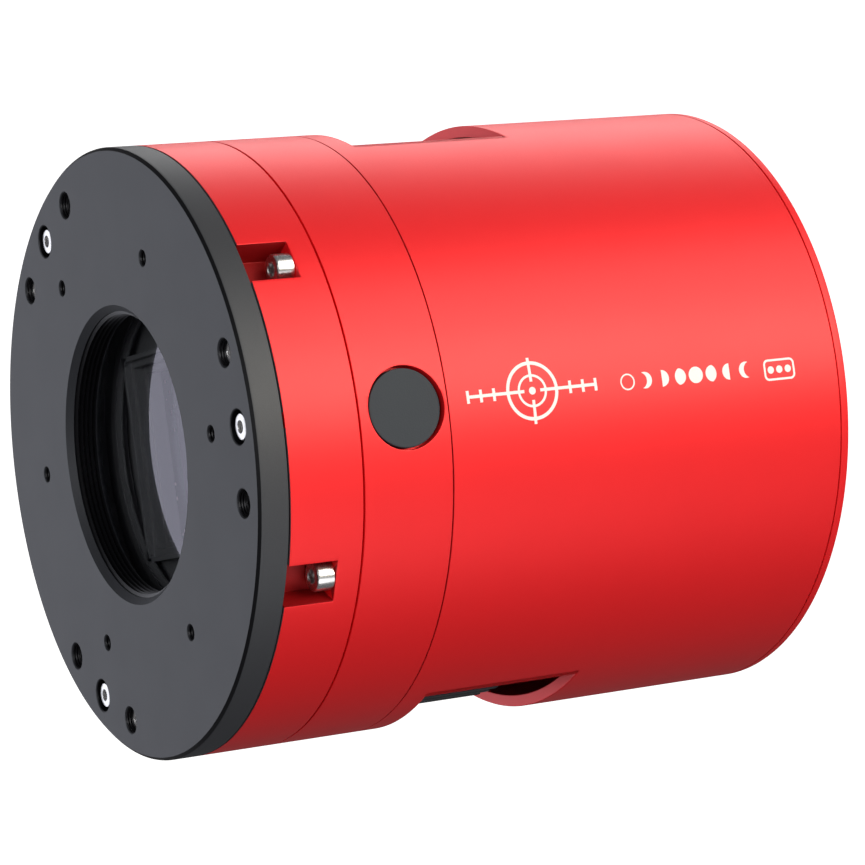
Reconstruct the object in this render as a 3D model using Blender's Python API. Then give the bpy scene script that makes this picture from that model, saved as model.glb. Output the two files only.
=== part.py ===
"""A cooled guide camera with a tilt plate, built as separate pieces.

Frame: the origin is the centre of the front mounting face, on the optical axis. +Y runs from the
front to the rear, +X points at the round port plug and +Z points up through the upper vent.
Lengths are in metres. Angles round the body are counted from +X towards +Z.
"""
import math

import bmesh
import bpy
from mathutils import Matrix, Vector

MM = 0.001

# ---- clearances -------------------------------------------------------------------------------
GAP = 0.3 * MM            # between touching pieces
SEAM = 0.3 * MM           # visible groove between the front and middle housings
FINE_SEAM = 0.2 * MM      # visible groove at each end of the rear barrel
CUT = 1.0 * MM            # how far a cutter runs past the face that it opens

# ---- body -------------------------------------------------------------------------------------
BODY_RADIUS = 45.0 * MM
BODY_LENGTH = 97.2 * MM
EDGE_CHAMFER = 0.3 * MM
BODY_SIDES = 48
INNER_SIDES = 30
SMALL_SIDES = 12

# ---- tilt plate -------------------------------------------------------------------------------
PLATE_THICKNESS = 4.3 * MM
PLATE_CHAMFER = 0.5 * MM
PLATE_GAP = 0.45 * MM             # room to tilt, between the plate and the front housing
MOUTH_RADIUS = 22.0 * MM          # plain entry of the opening
MOUTH_DEPTH = 1.6 * MM
THREAD_RADIUS = 20.6 * MM         # crest of the M42 x 0.75 female thread
PLATE_BOSS_RADIUS = 24.0 * MM
PLATE_BOSS_HEIGHT = 0.55 * MM
ADJUSTER_EDGE = 5.0 * MM          # from the plate's rim to the adjusters' circle
ADJUSTER_ANGLES = (0.0, 120.0, 240.0)
PUSH_SPREAD = 15.0                # degrees from a pull screw to each of its push screws
ACCESSORY_CIRCLE = 62.0 * MM      # six small threaded holes
ACCESSORY_HOLES = 6
ACCESSORY_HOLE_RADIUS = 1.15 * MM
ACCESSORY_HOLE_DEPTH = 3.4 * MM

# ---- screws: head radius, head height, shank radius, hexagon across flats ----------------------
M2_SCREW = (1.9 * MM, 2.0 * MM, 1.0 * MM, 1.5 * MM)
NOTCH_SCREW = (1.9 * MM, 2.25 * MM, 1.0 * MM, 1.5 * MM)
M3_SCREW = (2.75 * MM, 2.0 * MM, 1.5 * MM, 2.0 * MM)
M25_SCREW = (2.25 * MM, 1.6 * MM, 1.25 * MM, 1.5 * MM)
HEAD_CHAMFER_SHARE = 0.12         # of the head's radius
HEX_DEPTH_SHARE = 0.6             # of the head's height
SCREW_RECESS = 0.7 * MM           # pull screw head below the plate's face
COUNTERBORE_GAP = 0.55 * MM
PULL_SCREW_LENGTH = 6.5 * MM
PUSH_SCREW_RADIUS = 1.7 * MM
PUSH_SCREW_RECESS = 1.0 * MM
PUSH_SCREW_HEX = 2.0 * MM
PUSH_SCREW_HEX_DEPTH = 1.5 * MM

# ---- front housing ----------------------------------------------------------------------------
FRONT_SEAM = 16.0 * MM            # middle of the groove behind the front housing
NOTCH_ANGLES = (30.0, 150.0, 210.0, 330.0)
NOTCH_WIDTH = 6.2 * MM
NOTCH_END = 12.2 * MM
NOTCH_DEPTH = 4.5 * MM
NOTCH_SCREW_EDGE = 2.3 * MM       # from the body's surface to the screws' circle
NOTCH_SCREW_LENGTH = 9.0 * MM
SHELF_RADIUS = 24.2 * MM          # clear hole behind the window
SHELF_THICKNESS = 1.9 * MM
SPIGOT_WALL = 6.0 * MM            # wall of the front housing round the middle housing's spigot
SPIGOT_LENGTH = 2.25 * MM

# ---- window and sensor ------------------------------------------------------------------------
WINDOW_FRONT = 6.9 * MM
WINDOW_THICKNESS = 2.0 * MM
WINDOW_RADIUS = 28.0 * MM
RETAINER_INNER_RADIUS = 24.4 * MM
RETAINER_THICKNESS = 1.45 * MM
RETAINER_SLOT = (3.0 * MM, 1.5 * MM)
RETAINER_SLOT_DEPTH = 0.8 * MM
HEATER_WIDTH = 1.4 * MM
HEATER_THICKNESS = 0.4 * MM
SEAL_RADIUS = 0.45 * MM           # section of the two large seal rings
WINDOW_SEAL_CIRCLE = 52.4 * MM
SEAL_GROOVE_SIDE = 0.3 * MM
MASK_THICKNESS = 2.8 * MM
MASK_OPENING = (38.0 * MM, 31.5 * MM)
MASK_STEPS = 3
MASK_STEP = 1.1 * MM              # how far each step reaches inwards
MASK_LEG = (20.0 * MM, 17.0 * MM)
MASK_LEG_RADIUS = 2.2 * MM
SENSOR_DEPTH = 17.5 * MM          # back focus: front face to the sensor's surface
SENSOR_SIZE = (23.5 * MM, 15.7 * MM)
SENSOR_THICKNESS = 0.3 * MM
PACKAGE_SIZE = (34.0 * MM, 27.0 * MM)
PACKAGE_WALL = 1.2 * MM           # package rim ahead of the sensor's surface
PACKAGE_FLOOR = 0.8 * MM
PACKAGE_POCKET = (26.0 * MM, 18.2 * MM)
COVER_GLASS_SIZE = (29.0 * MM, 21.5 * MM)
COVER_GLASS_THICKNESS = 0.7 * MM
SENSOR_BOARD_SIZE = (54.0 * MM, 44.0 * MM)
SENSOR_BOARD_CORNER = 6.0 * MM
BOARD_THICKNESS = 1.6 * MM
HUMIDITY_SENSOR = (3.0 * MM, 1.0 * MM)

# ---- cooler -----------------------------------------------------------------------------------
COLD_FINGER_SIZE = (16.0 * MM, 12.0 * MM)
COLD_FINGER_LENGTH = 3.9 * MM
COLD_STAGE_SIZE = 20.0 * MM
COLD_STAGE_THICKNESS = 3.0 * MM
HOT_STAGE_SIZE = 30.0 * MM
FOAM_SIDE = 2.5 * MM              # from the foam to the chamber's wall
FOAM_THICKNESS = 7.8 * MM

# ---- middle housing and port ------------------------------------------------------------------
REAR_SEAM = 30.0 * MM             # middle of the groove behind the middle housing
CHAMBER_WALL = 12.0 * MM
PORT_DEPTH_Y = 23.5 * MM          # the port's axis, behind the front face
PORT_RADIUS = 5.9 * MM
PORT_BORE_RADIUS = 4.7 * MM
PORT_SEAT_DEPTH = 2.5 * MM        # the port's shoulder, below the body's surface
PLUG_HEAD_GAP = 0.35 * MM
PLUG_HEAD_THICKNESS = 1.5 * MM
PLUG_STEM_GAP = 0.6 * MM
PLUG_STEM_LENGTH = 3.9 * MM
PLUG_SEAL_RADIUS = 0.5 * MM
PLUG_GROOVE_WIDTH = 1.7 * MM
PLUG_GROOVE_EDGE = 1.2 * MM       # from the plug's head to its groove
TABLET_GAP = 0.4 * MM
TABLET_THICKNESS = 4.6 * MM

# ---- heat sink --------------------------------------------------------------------------------
SINK_BASE = 3.7 * MM
SINK_SETBACK = 0.2 * MM           # base behind the front edge of the barrel
FIN_END = 51.5 * MM
FIN_PITCH = 3.0 * MM
FIN_THICKNESS = 1.0 * MM
PILLAR_RADIUS = 3.2 * MM

# ---- rear barrel ------------------------------------------------------------------------------
BARREL_WALL = 2.5 * MM
COVER_RIM = 1.45 * MM             # from the middle of the rear groove to the rear face
VENT_WIDTH = 40.2 * MM
VENT_START = 34.0 * MM
VENT_END = 59.5 * MM
LUG_EDGE = 2.9 * MM               # from the barrel's bore to the lugs' circle
LUG_RADIUS = 3.2 * MM
LUG_LENGTH = 9.7 * MM
LUG_ANGLES = (45.0, 135.0, 225.0, 315.0)
REAR_SCREW_LENGTH = 7.4 * MM
REAR_SCREW_RECESS = 0.2 * MM

# ---- fan --------------------------------------------------------------------------------------
FAN_SIZE = 60.0 * MM
FAN_SPACE = 9.5 * MM              # air space between the fins and the fan
FAN_DEPTH = 15.0 * MM
FAN_CORNER = 3.0 * MM
FAN_DUCT_EDGE = 1.7 * MM
FAN_HOLE_EDGE = 5.0 * MM
FAN_HUB_RADIUS = 12.0 * MM
FAN_HUB_WALL = 2.7 * MM
FAN_BLADES = 7
FAN_BLADE_ANGLE = 38.0
FAN_BLADE_THICKNESS = 1.0 * MM
FAN_BLADE_SETBACK = 0.5 * MM      # blades inside each end of the hub
FAN_BLADE_FILL = 0.8              # of the way from one blade to the next at the tip
FAN_ROTOR_SETBACK = 1.0 * MM      # hub behind the front of the frame
FAN_STRUT_WIDTH = 2.5 * MM
FAN_STRUT_DEPTH = 2.1 * MM
FAN_BOSS_RADIUS = 5.0 * MM
FAN_RUNNING_GAP = 0.4 * MM
FAN_SCREW_LENGTH = 23.3 * MM

# ---- rear electronics -------------------------------------------------------------------------
MAIN_BOARD_EDGE = 1.0 * MM
MAIN_BOARD_HOLE = 22.0 * MM
CHIP_THICKNESS = 1.6 * MM
PROCESSOR = (0.0, 31.0 * MM, 16.0 * MM, 16.0 * MM)          # centre x, z, width, height
MEMORY = (29.5 * MM, 10.0 * MM, 10.0 * MM, 8.0 * MM)
DATA_SOCKET = (0.0, -33.0 * MM, 12.0 * MM, 10.6 * MM)
HUB_SOCKETS = (
    (-10.75 * MM, -30.05 * MM, 5.7 * MM, 13.1 * MM),
    (-18.45 * MM, -26.45 * MM, 5.7 * MM, 13.1 * MM),
)
POWER_SOCKET = (13.5 * MM, -29.5 * MM, 9.0 * MM, 11.0 * MM)
SOCKET_DEPTH = 9.0 * MM
SOCKET_WALL = 0.9 * MM
TONGUE_SETBACK = 1.5 * MM         # contacts inside the mouth of a socket
DATA_TONGUE = (0.62, 0.4)         # share of the pocket's width and height
HUB_TONGUE = (0.4, 0.8)
JACK_RADIUS = 3.15 * MM
JACK_PIN_RADIUS = 1.0 * MM
RIBBON_SIDE = 1.3 * MM            # from the fan or the foam to the ribbon's middle
RIBBON_WIDTH = 10.0 * MM
RIBBON_THICKNESS = 0.4 * MM
RIBBON_LAP = 2.2 * MM             # how far the ribbon's feet reach over the sensor board
RIBBON_SLOT_SIDE = 0.8 * MM

# ---- rear cover -------------------------------------------------------------------------------
COVER_STEP_DEPTH = 3.2 * MM
GRILLE_RADIUS = 22.5 * MM
GRILLE_SLOTS = 9
GRILLE_PITCH = 4.6 * MM
GRILLE_SLOT_WIDTH = 2.6 * MM
POST_LENGTH = 12.1 * MM
POST_CIRCLE = 64.0 * MM
POST_ANGLES = (0.0, 50.0, 130.0, 180.0)
POST_RADIUS = 2.5 * MM

# ---- places that follow from the sizes above ----------------------------------------------------
ADJUSTER_CIRCLE = 2 * (BODY_RADIUS - ADJUSTER_EDGE)
NOTCH_SCREW_CIRCLE = 2 * (BODY_RADIUS - NOTCH_SCREW_EDGE)
SPIGOT_RADIUS = BODY_RADIUS - SPIGOT_WALL
CHAMBER_RADIUS = BODY_RADIUS - CHAMBER_WALL
CHAMBER_SEAL_CIRCLE = SPIGOT_RADIUS + CHAMBER_RADIUS
FOAM_RADIUS = CHAMBER_RADIUS - FOAM_SIDE
PORT_SEAT = BODY_RADIUS - PORT_SEAT_DEPTH
PLUG_STEM_RADIUS = PORT_BORE_RADIUS - PLUG_STEM_GAP
TABLET_RADIUS = PORT_BORE_RADIUS - TABLET_GAP
HOUSING_FRONT = PLATE_THICKNESS + PLATE_GAP
FRONT_HOUSING_END = FRONT_SEAM - SEAM / 2
MIDDLE_START = FRONT_SEAM + SEAM / 2
MIDDLE_END = REAR_SEAM - FINE_SEAM / 2
COVER_SEAM = BODY_LENGTH - COVER_RIM
BARREL_START = REAR_SEAM + FINE_SEAM / 2
BARREL_END = COVER_SEAM - FINE_SEAM / 2
COVER_START = COVER_SEAM + FINE_SEAM / 2
BARREL_BORE = BODY_RADIUS - BARREL_WALL
SINK_RADIUS = BARREL_BORE - GAP
LUG_CIRCLE = 2 * (BARREL_BORE - LUG_EDGE)
WINDOW_REAR = WINDOW_FRONT + WINDOW_THICKNESS
SHELF_FRONT = WINDOW_REAR + GAP
SHELF_REAR = SHELF_FRONT + SHELF_THICKNESS
MASK_FRONT = SHELF_REAR + GAP
MASK_REAR = MASK_FRONT + MASK_THICKNESS
MASK_RADIUS = CHAMBER_RADIUS - 2 * GAP
SPIGOT_FRONT = MIDDLE_START - SPIGOT_LENGTH
PACKAGE_FRONT = SENSOR_DEPTH - PACKAGE_WALL
PACKAGE_REAR = SENSOR_DEPTH + SENSOR_THICKNESS + GAP + PACKAGE_FLOOR
BOARD_FRONT = PACKAGE_REAR + GAP
BOARD_REAR = BOARD_FRONT + BOARD_THICKNESS
COLD_FINGER_REAR = BOARD_FRONT + COLD_FINGER_LENGTH
COLD_STAGE_FRONT = COLD_FINGER_REAR + GAP
COLD_STAGE_REAR = COLD_STAGE_FRONT + COLD_STAGE_THICKNESS
SINK_FRONT = BARREL_START + SINK_SETBACK
HOT_STAGE_FRONT = COLD_STAGE_REAR + GAP
HOT_STAGE_REAR = SINK_FRONT - GAP
SINK_BASE_REAR = SINK_FRONT + SINK_BASE
FAN_FRONT = FIN_END + FAN_SPACE
FAN_DUCT_RADIUS = FAN_SIZE / 2 - FAN_DUCT_EDGE
FAN_HOLE_SPACING = FAN_SIZE - 2 * FAN_HOLE_EDGE
FAN_REAR = FAN_FRONT + FAN_DEPTH
STRUT_FRONT = FAN_REAR - FAN_STRUT_DEPTH
COVER_INNER = BODY_LENGTH - COVER_STEP_DEPTH
MAIN_BOARD_REAR = COVER_INNER - POST_LENGTH - GAP
MAIN_BOARD_FRONT = MAIN_BOARD_REAR - BOARD_THICKNESS
MAIN_BOARD_RADIUS = BARREL_BORE - MAIN_BOARD_EDGE
RIBBON_X = -max(FOAM_RADIUS, FAN_SIZE / 2) - RIBBON_SIDE
LUG_END = COVER_INNER - GAP

FINISHES = {
    "black_anodised": ((0.055, 0.057, 0.062), 0.45, 0.6),
    "red_anodised": ((0.62, 0.012, 0.014), 0.32, 0.85),
    "dark_plug": ((0.07, 0.074, 0.08), 0.6, 0.1),
    "stainless": ((0.68, 0.68, 0.7), 0.22, 1.0),
    "black_steel": ((0.03, 0.03, 0.032), 0.4, 0.9),
    "glass": ((0.42, 0.38, 0.62), 0.03, 0.0),
    "seal_rubber": ((0.02, 0.02, 0.02), 0.8, 0.0),
    "matt_black": ((0.012, 0.012, 0.013), 0.7, 0.0),
    "ceramic": ((0.05, 0.05, 0.055), 0.55, 0.0),
    "sensor": ((0.09, 0.12, 0.16), 0.12, 0.3),
    "circuit_board": ((0.02, 0.1, 0.045), 0.5, 0.0),
    "aluminium": ((0.75, 0.75, 0.77), 0.35, 1.0),
    "alumina": ((0.86, 0.86, 0.84), 0.6, 0.0),
    "foam": ((0.03, 0.03, 0.032), 0.95, 0.0),
    "tablet": ((0.9, 0.88, 0.82), 0.9, 0.0),
    "black_plastic": ((0.02, 0.02, 0.022), 0.5, 0.0),
    "ribbon": ((0.55, 0.3, 0.06), 0.4, 0.0),
}


# ---- drawing helpers ----------------------------------------------------------------------------
def clear_scene():
    for thing in list(bpy.data.objects):
        bpy.data.objects.remove(thing, do_unlink=True)


def finish(name):
    """Principled material for a finish, made once."""
    if name in bpy.data.materials:
        return bpy.data.materials[name]
    colour, roughness, metallic = FINISHES[name]
    material = bpy.data.materials.new(name)
    material.use_nodes = True
    shader = material.node_tree.nodes["Principled BSDF"]
    shader.inputs["Base Color"].default_value = (*colour, 1.0)
    shader.inputs["Roughness"].default_value = roughness
    shader.inputs["Metallic"].default_value = metallic
    return material


def on_circle(diameter, angle):
    """X and Z of a point on a circle round the optical axis."""
    return (
        diameter / 2 * math.cos(math.radians(angle)),
        diameter / 2 * math.sin(math.radians(angle)),
    )


def add_turned(bm, outline, at=(0.0, 0.0), sides=SMALL_SIDES, along="Y"):
    """Add a solid of revolution.

    The outline is a closed loop of (radius, distance) points. The axis runs along +Y through
    x, z = at, or along +X through y, z = at. It starts half a facet round, so that the middle
    of a facet faces each main direction.
    """
    part = bmesh.new()
    half_facet = math.pi / sides
    points = [
        part.verts.new((radius * math.cos(half_facet), distance, radius * math.sin(half_facet)))
        for radius, distance in outline
    ]
    edges = [part.edges.new((points[i - 1], points[i])) for i in range(len(points))]
    bmesh.ops.spin(
        part, geom=points + edges, cent=(0, 0, 0), axis=(0, 1, 0), angle=2 * math.pi,
        steps=sides, use_merge=True,
    )
    bmesh.ops.remove_doubles(part, verts=part.verts, dist=1e-7)
    on_axis = [edge for edge in part.edges if not edge.link_faces]
    bmesh.ops.delete(part, geom=on_axis, context="EDGES")
    if along == "X":
        turn = Matrix.Rotation(-math.pi / 2, 4, "Z")
        place = Matrix.Translation((0.0, at[0], at[1])) @ turn
    else:
        place = Matrix.Translation((at[0], 0.0, at[1]))
    bmesh.ops.transform(part, matrix=place, verts=part.verts)
    bmesh.ops.recalc_face_normals(part, faces=part.faces)
    merge_into(bm, part)


def add_rod(bm, radius, start, end, at=(0.0, 0.0), sides=SMALL_SIDES, along="Y"):
    """Add a plain cylinder from start to end along its axis."""
    outline = ((0.0, start), (radius, start), (radius, end), (0.0, end))
    add_turned(bm, outline, at, sides, along)


def add_ring(bm, circle, section, centre, at=(0.0, 0.0), sides=INNER_SIDES, along="Y"):
    """Add a round-section ring; circle is the diameter through the middle of its section."""
    section_sides = 6
    outline = [
        (
            circle / 2 + section * math.cos(2 * math.pi * i / section_sides),
            centre + section * math.sin(2 * math.pi * i / section_sides),
        )
        for i in range(section_sides)
    ]
    add_turned(bm, outline, at, sides, along)


def add_block(bm, low, high, turned_to=0.0):
    """Add a box between two corners, then turn it about the optical axis by an angle."""
    part = bmesh.new()
    middle = [(a + b) / 2 for a, b in zip(low, high)]
    size = [b - a for a, b in zip(low, high)]
    bmesh.ops.create_cube(part, size=1.0)
    spin = Matrix.Rotation(-math.radians(turned_to), 4, "Y")
    shape = Matrix.Translation(middle) @ Matrix.Diagonal((*size, 1.0))
    bmesh.ops.transform(part, matrix=spin @ shape, verts=part.verts)
    merge_into(bm, part)


def add_slab(bm, centre, size, start, end):
    """Add a box from its centre and size across the optical axis, between two depths."""
    add_block(
        bm,
        (centre[0] - size[0] / 2, start, centre[1] - size[1] / 2),
        (centre[0] + size[0] / 2, end, centre[1] + size[1] / 2),
    )


def add_hexagon(bm, flats, start, end, at):
    """Add a hexagonal prism along Y, given its width across flats."""
    add_rod(bm, flats / math.sqrt(3), start, end, at, sides=6)


def merge_into(bm, part):
    """Copy one bmesh into another and free it."""
    mesh = bpy.data.meshes.new("shape")
    part.to_mesh(mesh)
    part.free()
    bm.from_mesh(mesh)
    bpy.data.meshes.remove(mesh)


def new_object(name, bm, origin=(0.0, 0.0, 0.0)):
    bmesh.ops.translate(bm, vec=-Vector(origin), verts=bm.verts)
    mesh = bpy.data.meshes.new(name)
    bm.to_mesh(mesh)
    bm.free()
    thing = bpy.data.objects.new(name, mesh)
    thing.location = origin
    bpy.context.scene.collection.objects.link(thing)
    return thing


def piece(name, bm, material, origin=(0.0, 0.0, 0.0)):
    """Make a sub-part from a bmesh in world coordinates."""
    thing = new_object(name, bm, origin)
    thing.data.materials.append(finish(material))
    thing.data.shade_smooth()
    thing.data.set_sharp_from_angle(angle=math.radians(30))
    return thing


def combine(target, bm, operation):
    """Cut a helper shape out of a piece, or join it on, with a live Boolean."""
    helper = new_object(f"{target.name}_{operation.lower()}_{len(target.modifiers)}", bm)
    helper.hide_render = True
    helper.display_type = "WIRE"
    modifier = target.modifiers.new(helper.name, "BOOLEAN")
    modifier.operation = operation
    modifier.solver = "EXACT"
    modifier.object = helper


def cut(target, bm):
    combine(target, bm, "DIFFERENCE")


def join(target, bm):
    combine(target, bm, "UNION")


def hang_on(empty_name, location, things):
    """Parent moving pieces to an empty that lies on their joint's axis."""
    pivot = bpy.data.objects.new(empty_name, None)
    pivot.location = location
    bpy.context.scene.collection.objects.link(pivot)
    bpy.context.view_layer.update()
    for thing in things:
        thing.parent = pivot
        thing.matrix_parent_inverse = pivot.matrix_world.inverted()


# ---- fasteners ----------------------------------------------------------------------------------
def socket_screw(name, size, length, head_end, at, towards_rear=True, material="stainless"):
    """Socket-head screw along Y. head_end is the depth of the head's free face."""
    head_radius, head_height, shank_radius, hexagon = size
    way = 1.0 if towards_rear else -1.0
    edge = HEAD_CHAMFER_SHARE * head_radius
    outline = (
        (0.0, head_end),
        (head_radius - edge, head_end),
        (head_radius, head_end + way * edge),
        (head_radius, head_end + way * head_height),
        (shank_radius, head_end + way * head_height),
        (shank_radius, head_end + way * (head_height + length)),
        (0.0, head_end + way * (head_height + length)),
    )
    bm = bmesh.new()
    add_turned(bm, outline, at)
    screw = piece(name, bm, material)
    hole = bmesh.new()
    bottom = head_end + way * HEX_DEPTH_SHARE * head_height
    depths = sorted((head_end - way * CUT, bottom))
    add_hexagon(hole, hexagon, depths[0], depths[1], at)
    cut(screw, hole)
    return screw


def push_screw(name, at, material):
    """Headless adjusting screw in the tilt plate; its tip meets the front housing."""
    bm = bmesh.new()
    add_rod(bm, PUSH_SCREW_RADIUS, PUSH_SCREW_RECESS, HOUSING_FRONT - GAP, at)
    screw = piece(name, bm, material)
    hole = bmesh.new()
    bottom = PUSH_SCREW_RECESS + PUSH_SCREW_HEX_DEPTH
    add_hexagon(hole, PUSH_SCREW_HEX, PUSH_SCREW_RECESS - CUT, bottom, at)
    cut(screw, hole)
    return screw


# ---- front group --------------------------------------------------------------------------------
def make_tilt_plate():
    boss_rear = PLATE_THICKNESS + PLATE_BOSS_HEIGHT
    outline = (
        (MOUTH_RADIUS, 0.0),
        (BODY_RADIUS - PLATE_CHAMFER, 0.0),
        (BODY_RADIUS, PLATE_CHAMFER),
        (BODY_RADIUS, PLATE_THICKNESS),
        (PLATE_BOSS_RADIUS, PLATE_THICKNESS),
        (PLATE_BOSS_RADIUS, boss_rear),
        (THREAD_RADIUS, boss_rear),
        (THREAD_RADIUS, MOUTH_DEPTH),
        (MOUTH_RADIUS, MOUTH_DEPTH),
    )
    bm = bmesh.new()
    add_turned(bm, outline, sides=BODY_SIDES)
    plate = piece("tilt_plate", bm, "black_anodised")

    head_radius, head_height, shank_radius, _ = M2_SCREW
    seat = SCREW_RECESS + head_height + GAP
    holes = bmesh.new()
    for angle in ADJUSTER_ANGLES:
        stepped = (
            (0.0, -CUT),
            (head_radius + COUNTERBORE_GAP, -CUT),
            (head_radius + COUNTERBORE_GAP, seat),
            (shank_radius + GAP, seat),
            (shank_radius + GAP, PLATE_THICKNESS + CUT),
            (0.0, PLATE_THICKNESS + CUT),
        )
        add_turned(holes, stepped, on_circle(ADJUSTER_CIRCLE, angle))
        for side in (-PUSH_SPREAD, PUSH_SPREAD):
            at = on_circle(ADJUSTER_CIRCLE, angle + side)
            add_rod(holes, PUSH_SCREW_RADIUS + GAP, -CUT, PLATE_THICKNESS + CUT, at)
    for i in range(ACCESSORY_HOLES):
        at = on_circle(ACCESSORY_CIRCLE, 360.0 / ACCESSORY_HOLES * i)
        add_rod(holes, ACCESSORY_HOLE_RADIUS, -CUT, ACCESSORY_HOLE_DEPTH, at, sides=10)
    cut(plate, holes)
    return plate


def make_adjusters():
    """Three pull screws and their six push screws."""
    pulls, pushes = [], []
    for number, angle in enumerate(ADJUSTER_ANGLES, start=1):
        at = on_circle(ADJUSTER_CIRCLE, angle)
        name = f"pull_screw_{number}"
        pulls.append(socket_screw(name, M2_SCREW, PULL_SCREW_LENGTH, SCREW_RECESS, at))
        for side, letter, material in (
            (PUSH_SPREAD, "a", "stainless"),
            (-PUSH_SPREAD, "b", "black_steel"),
        ):
            at = on_circle(ADJUSTER_CIRCLE, angle + side)
            pushes.append(push_screw(f"push_screw_{number}{letter}", at, material))
    return pulls, pushes


def make_front_housing():
    window_pocket = WINDOW_RADIUS + GAP
    cavity_front = SPIGOT_FRONT - GAP
    outline = (
        (window_pocket, HOUSING_FRONT),
        (BODY_RADIUS - EDGE_CHAMFER, HOUSING_FRONT),
        (BODY_RADIUS, HOUSING_FRONT + EDGE_CHAMFER),
        (BODY_RADIUS, FRONT_HOUSING_END),
        (SPIGOT_RADIUS + GAP, FRONT_HOUSING_END),
        (SPIGOT_RADIUS + GAP, cavity_front),
        (CHAMBER_RADIUS - GAP, cavity_front),
        (CHAMBER_RADIUS - GAP, SHELF_REAR),
        (SHELF_RADIUS, SHELF_REAR),
        (SHELF_RADIUS, SHELF_FRONT),
        *seal_groove(WINDOW_SEAL_CIRCLE, SHELF_FRONT),
        (window_pocket, SHELF_FRONT),
    )
    bm = bmesh.new()
    add_turned(bm, outline, sides=BODY_SIDES)
    housing = piece("front_housing", bm, "red_anodised")

    openings = bmesh.new()
    for angle in NOTCH_ANGLES:
        add_block(
            openings,
            (BODY_RADIUS - NOTCH_DEPTH, HOUSING_FRONT - CUT, -NOTCH_WIDTH / 2),
            (BODY_RADIUS + CUT, NOTCH_END, NOTCH_WIDTH / 2),
            angle,
        )
    tapped = M2_SCREW[2] + GAP
    pull_end = SCREW_RECESS + M2_SCREW[1] + PULL_SCREW_LENGTH + 2 * GAP
    for angle in ADJUSTER_ANGLES:
        at = on_circle(ADJUSTER_CIRCLE, angle)
        add_rod(openings, tapped, HOUSING_FRONT - CUT, pull_end, at)
    cut(housing, openings)

    holes = bmesh.new()
    for angle in NOTCH_ANGLES:
        at = on_circle(NOTCH_SCREW_CIRCLE, angle)
        add_rod(holes, tapped, NOTCH_END - CUT, FRONT_HOUSING_END + CUT, at)
    cut(housing, holes)


def seal_groove(circle, face):
    """Outline points of a square seal ring groove, sunk rearwards from a face."""
    half = SEAL_RADIUS + SEAL_GROOVE_SIDE
    floor = face + 2 * SEAL_RADIUS + GAP
    inner, outer = circle / 2 - half, circle / 2 + half
    return [(inner, face), (inner, floor), (outer, floor), (outer, face)]


def make_housing_screws():
    head_end = NOTCH_END - GAP - NOTCH_SCREW[1]
    for number, angle in enumerate(NOTCH_ANGLES, start=1):
        at = on_circle(NOTCH_SCREW_CIRCLE, angle)
        socket_screw(f"housing_screw_{number}", NOTCH_SCREW, NOTCH_SCREW_LENGTH, head_end, at)


def make_window():
    ring_rear = WINDOW_FRONT - GAP
    ring_front = ring_rear - RETAINER_THICKNESS
    ring_outer = WINDOW_RADIUS
    bm = bmesh.new()
    outline = (
        (RETAINER_INNER_RADIUS, ring_front),
        (ring_outer, ring_front),
        (ring_outer, ring_rear),
        (RETAINER_INNER_RADIUS, ring_rear),
    )
    add_turned(bm, outline, sides=INNER_SIDES)
    ring = piece("window_retaining_ring", bm, "black_anodised")
    slots = bmesh.new()
    middle = (RETAINER_INNER_RADIUS + ring_outer) / 2
    for side in (-1.0, 1.0):
        add_slab(slots, (0.0, side * middle), RETAINER_SLOT,
                 ring_front - CUT, ring_front + RETAINER_SLOT_DEPTH)
    cut(ring, slots)

    bm = bmesh.new()
    add_rod(bm, WINDOW_RADIUS, WINDOW_FRONT, WINDOW_REAR, sides=INNER_SIDES)
    piece("window_glass", bm, "glass")

    bm = bmesh.new()
    add_ring(bm, WINDOW_SEAL_CIRCLE, SEAL_RADIUS, SHELF_FRONT + SEAL_RADIUS)
    piece("window_seal", bm, "seal_rubber")

    heater_outer = SHELF_RADIUS - GAP
    outline = (
        (heater_outer - HEATER_WIDTH, WINDOW_REAR + GAP),
        (heater_outer, WINDOW_REAR + GAP),
        (heater_outer, WINDOW_REAR + GAP + HEATER_THICKNESS),
        (heater_outer - HEATER_WIDTH, WINDOW_REAR + GAP + HEATER_THICKNESS),
    )
    bm = bmesh.new()
    add_turned(bm, outline, sides=INNER_SIDES)
    piece("window_heater", bm, "matt_black")


def make_sensor_mask():
    """Black disc with a stepped rectangular opening and four legs for the sensor board."""
    bm = bmesh.new()
    add_rod(bm, MASK_RADIUS, MASK_FRONT, MASK_REAR, sides=INNER_SIDES)
    mask = piece("sensor_mask", bm, "matt_black")
    legs = bmesh.new()
    for x in (-MASK_LEG[0], MASK_LEG[0]):
        for z in (-MASK_LEG[1], MASK_LEG[1]):
            add_rod(legs, MASK_LEG_RADIUS, MASK_REAR - CUT, BOARD_FRONT - GAP, (x, z))
    join(mask, legs)
    step_depth = MASK_THICKNESS / MASK_STEPS
    for step in range(MASK_STEPS):
        size = [side - 2 * MASK_STEP * step for side in MASK_OPENING]
        end = MASK_FRONT + step_depth * (step + 1)
        if step == MASK_STEPS - 1:
            end = MASK_REAR + CUT
        opening = bmesh.new()
        add_slab(opening, (0.0, 0.0), size, MASK_FRONT - CUT, end)
        cut(mask, opening)


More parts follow.
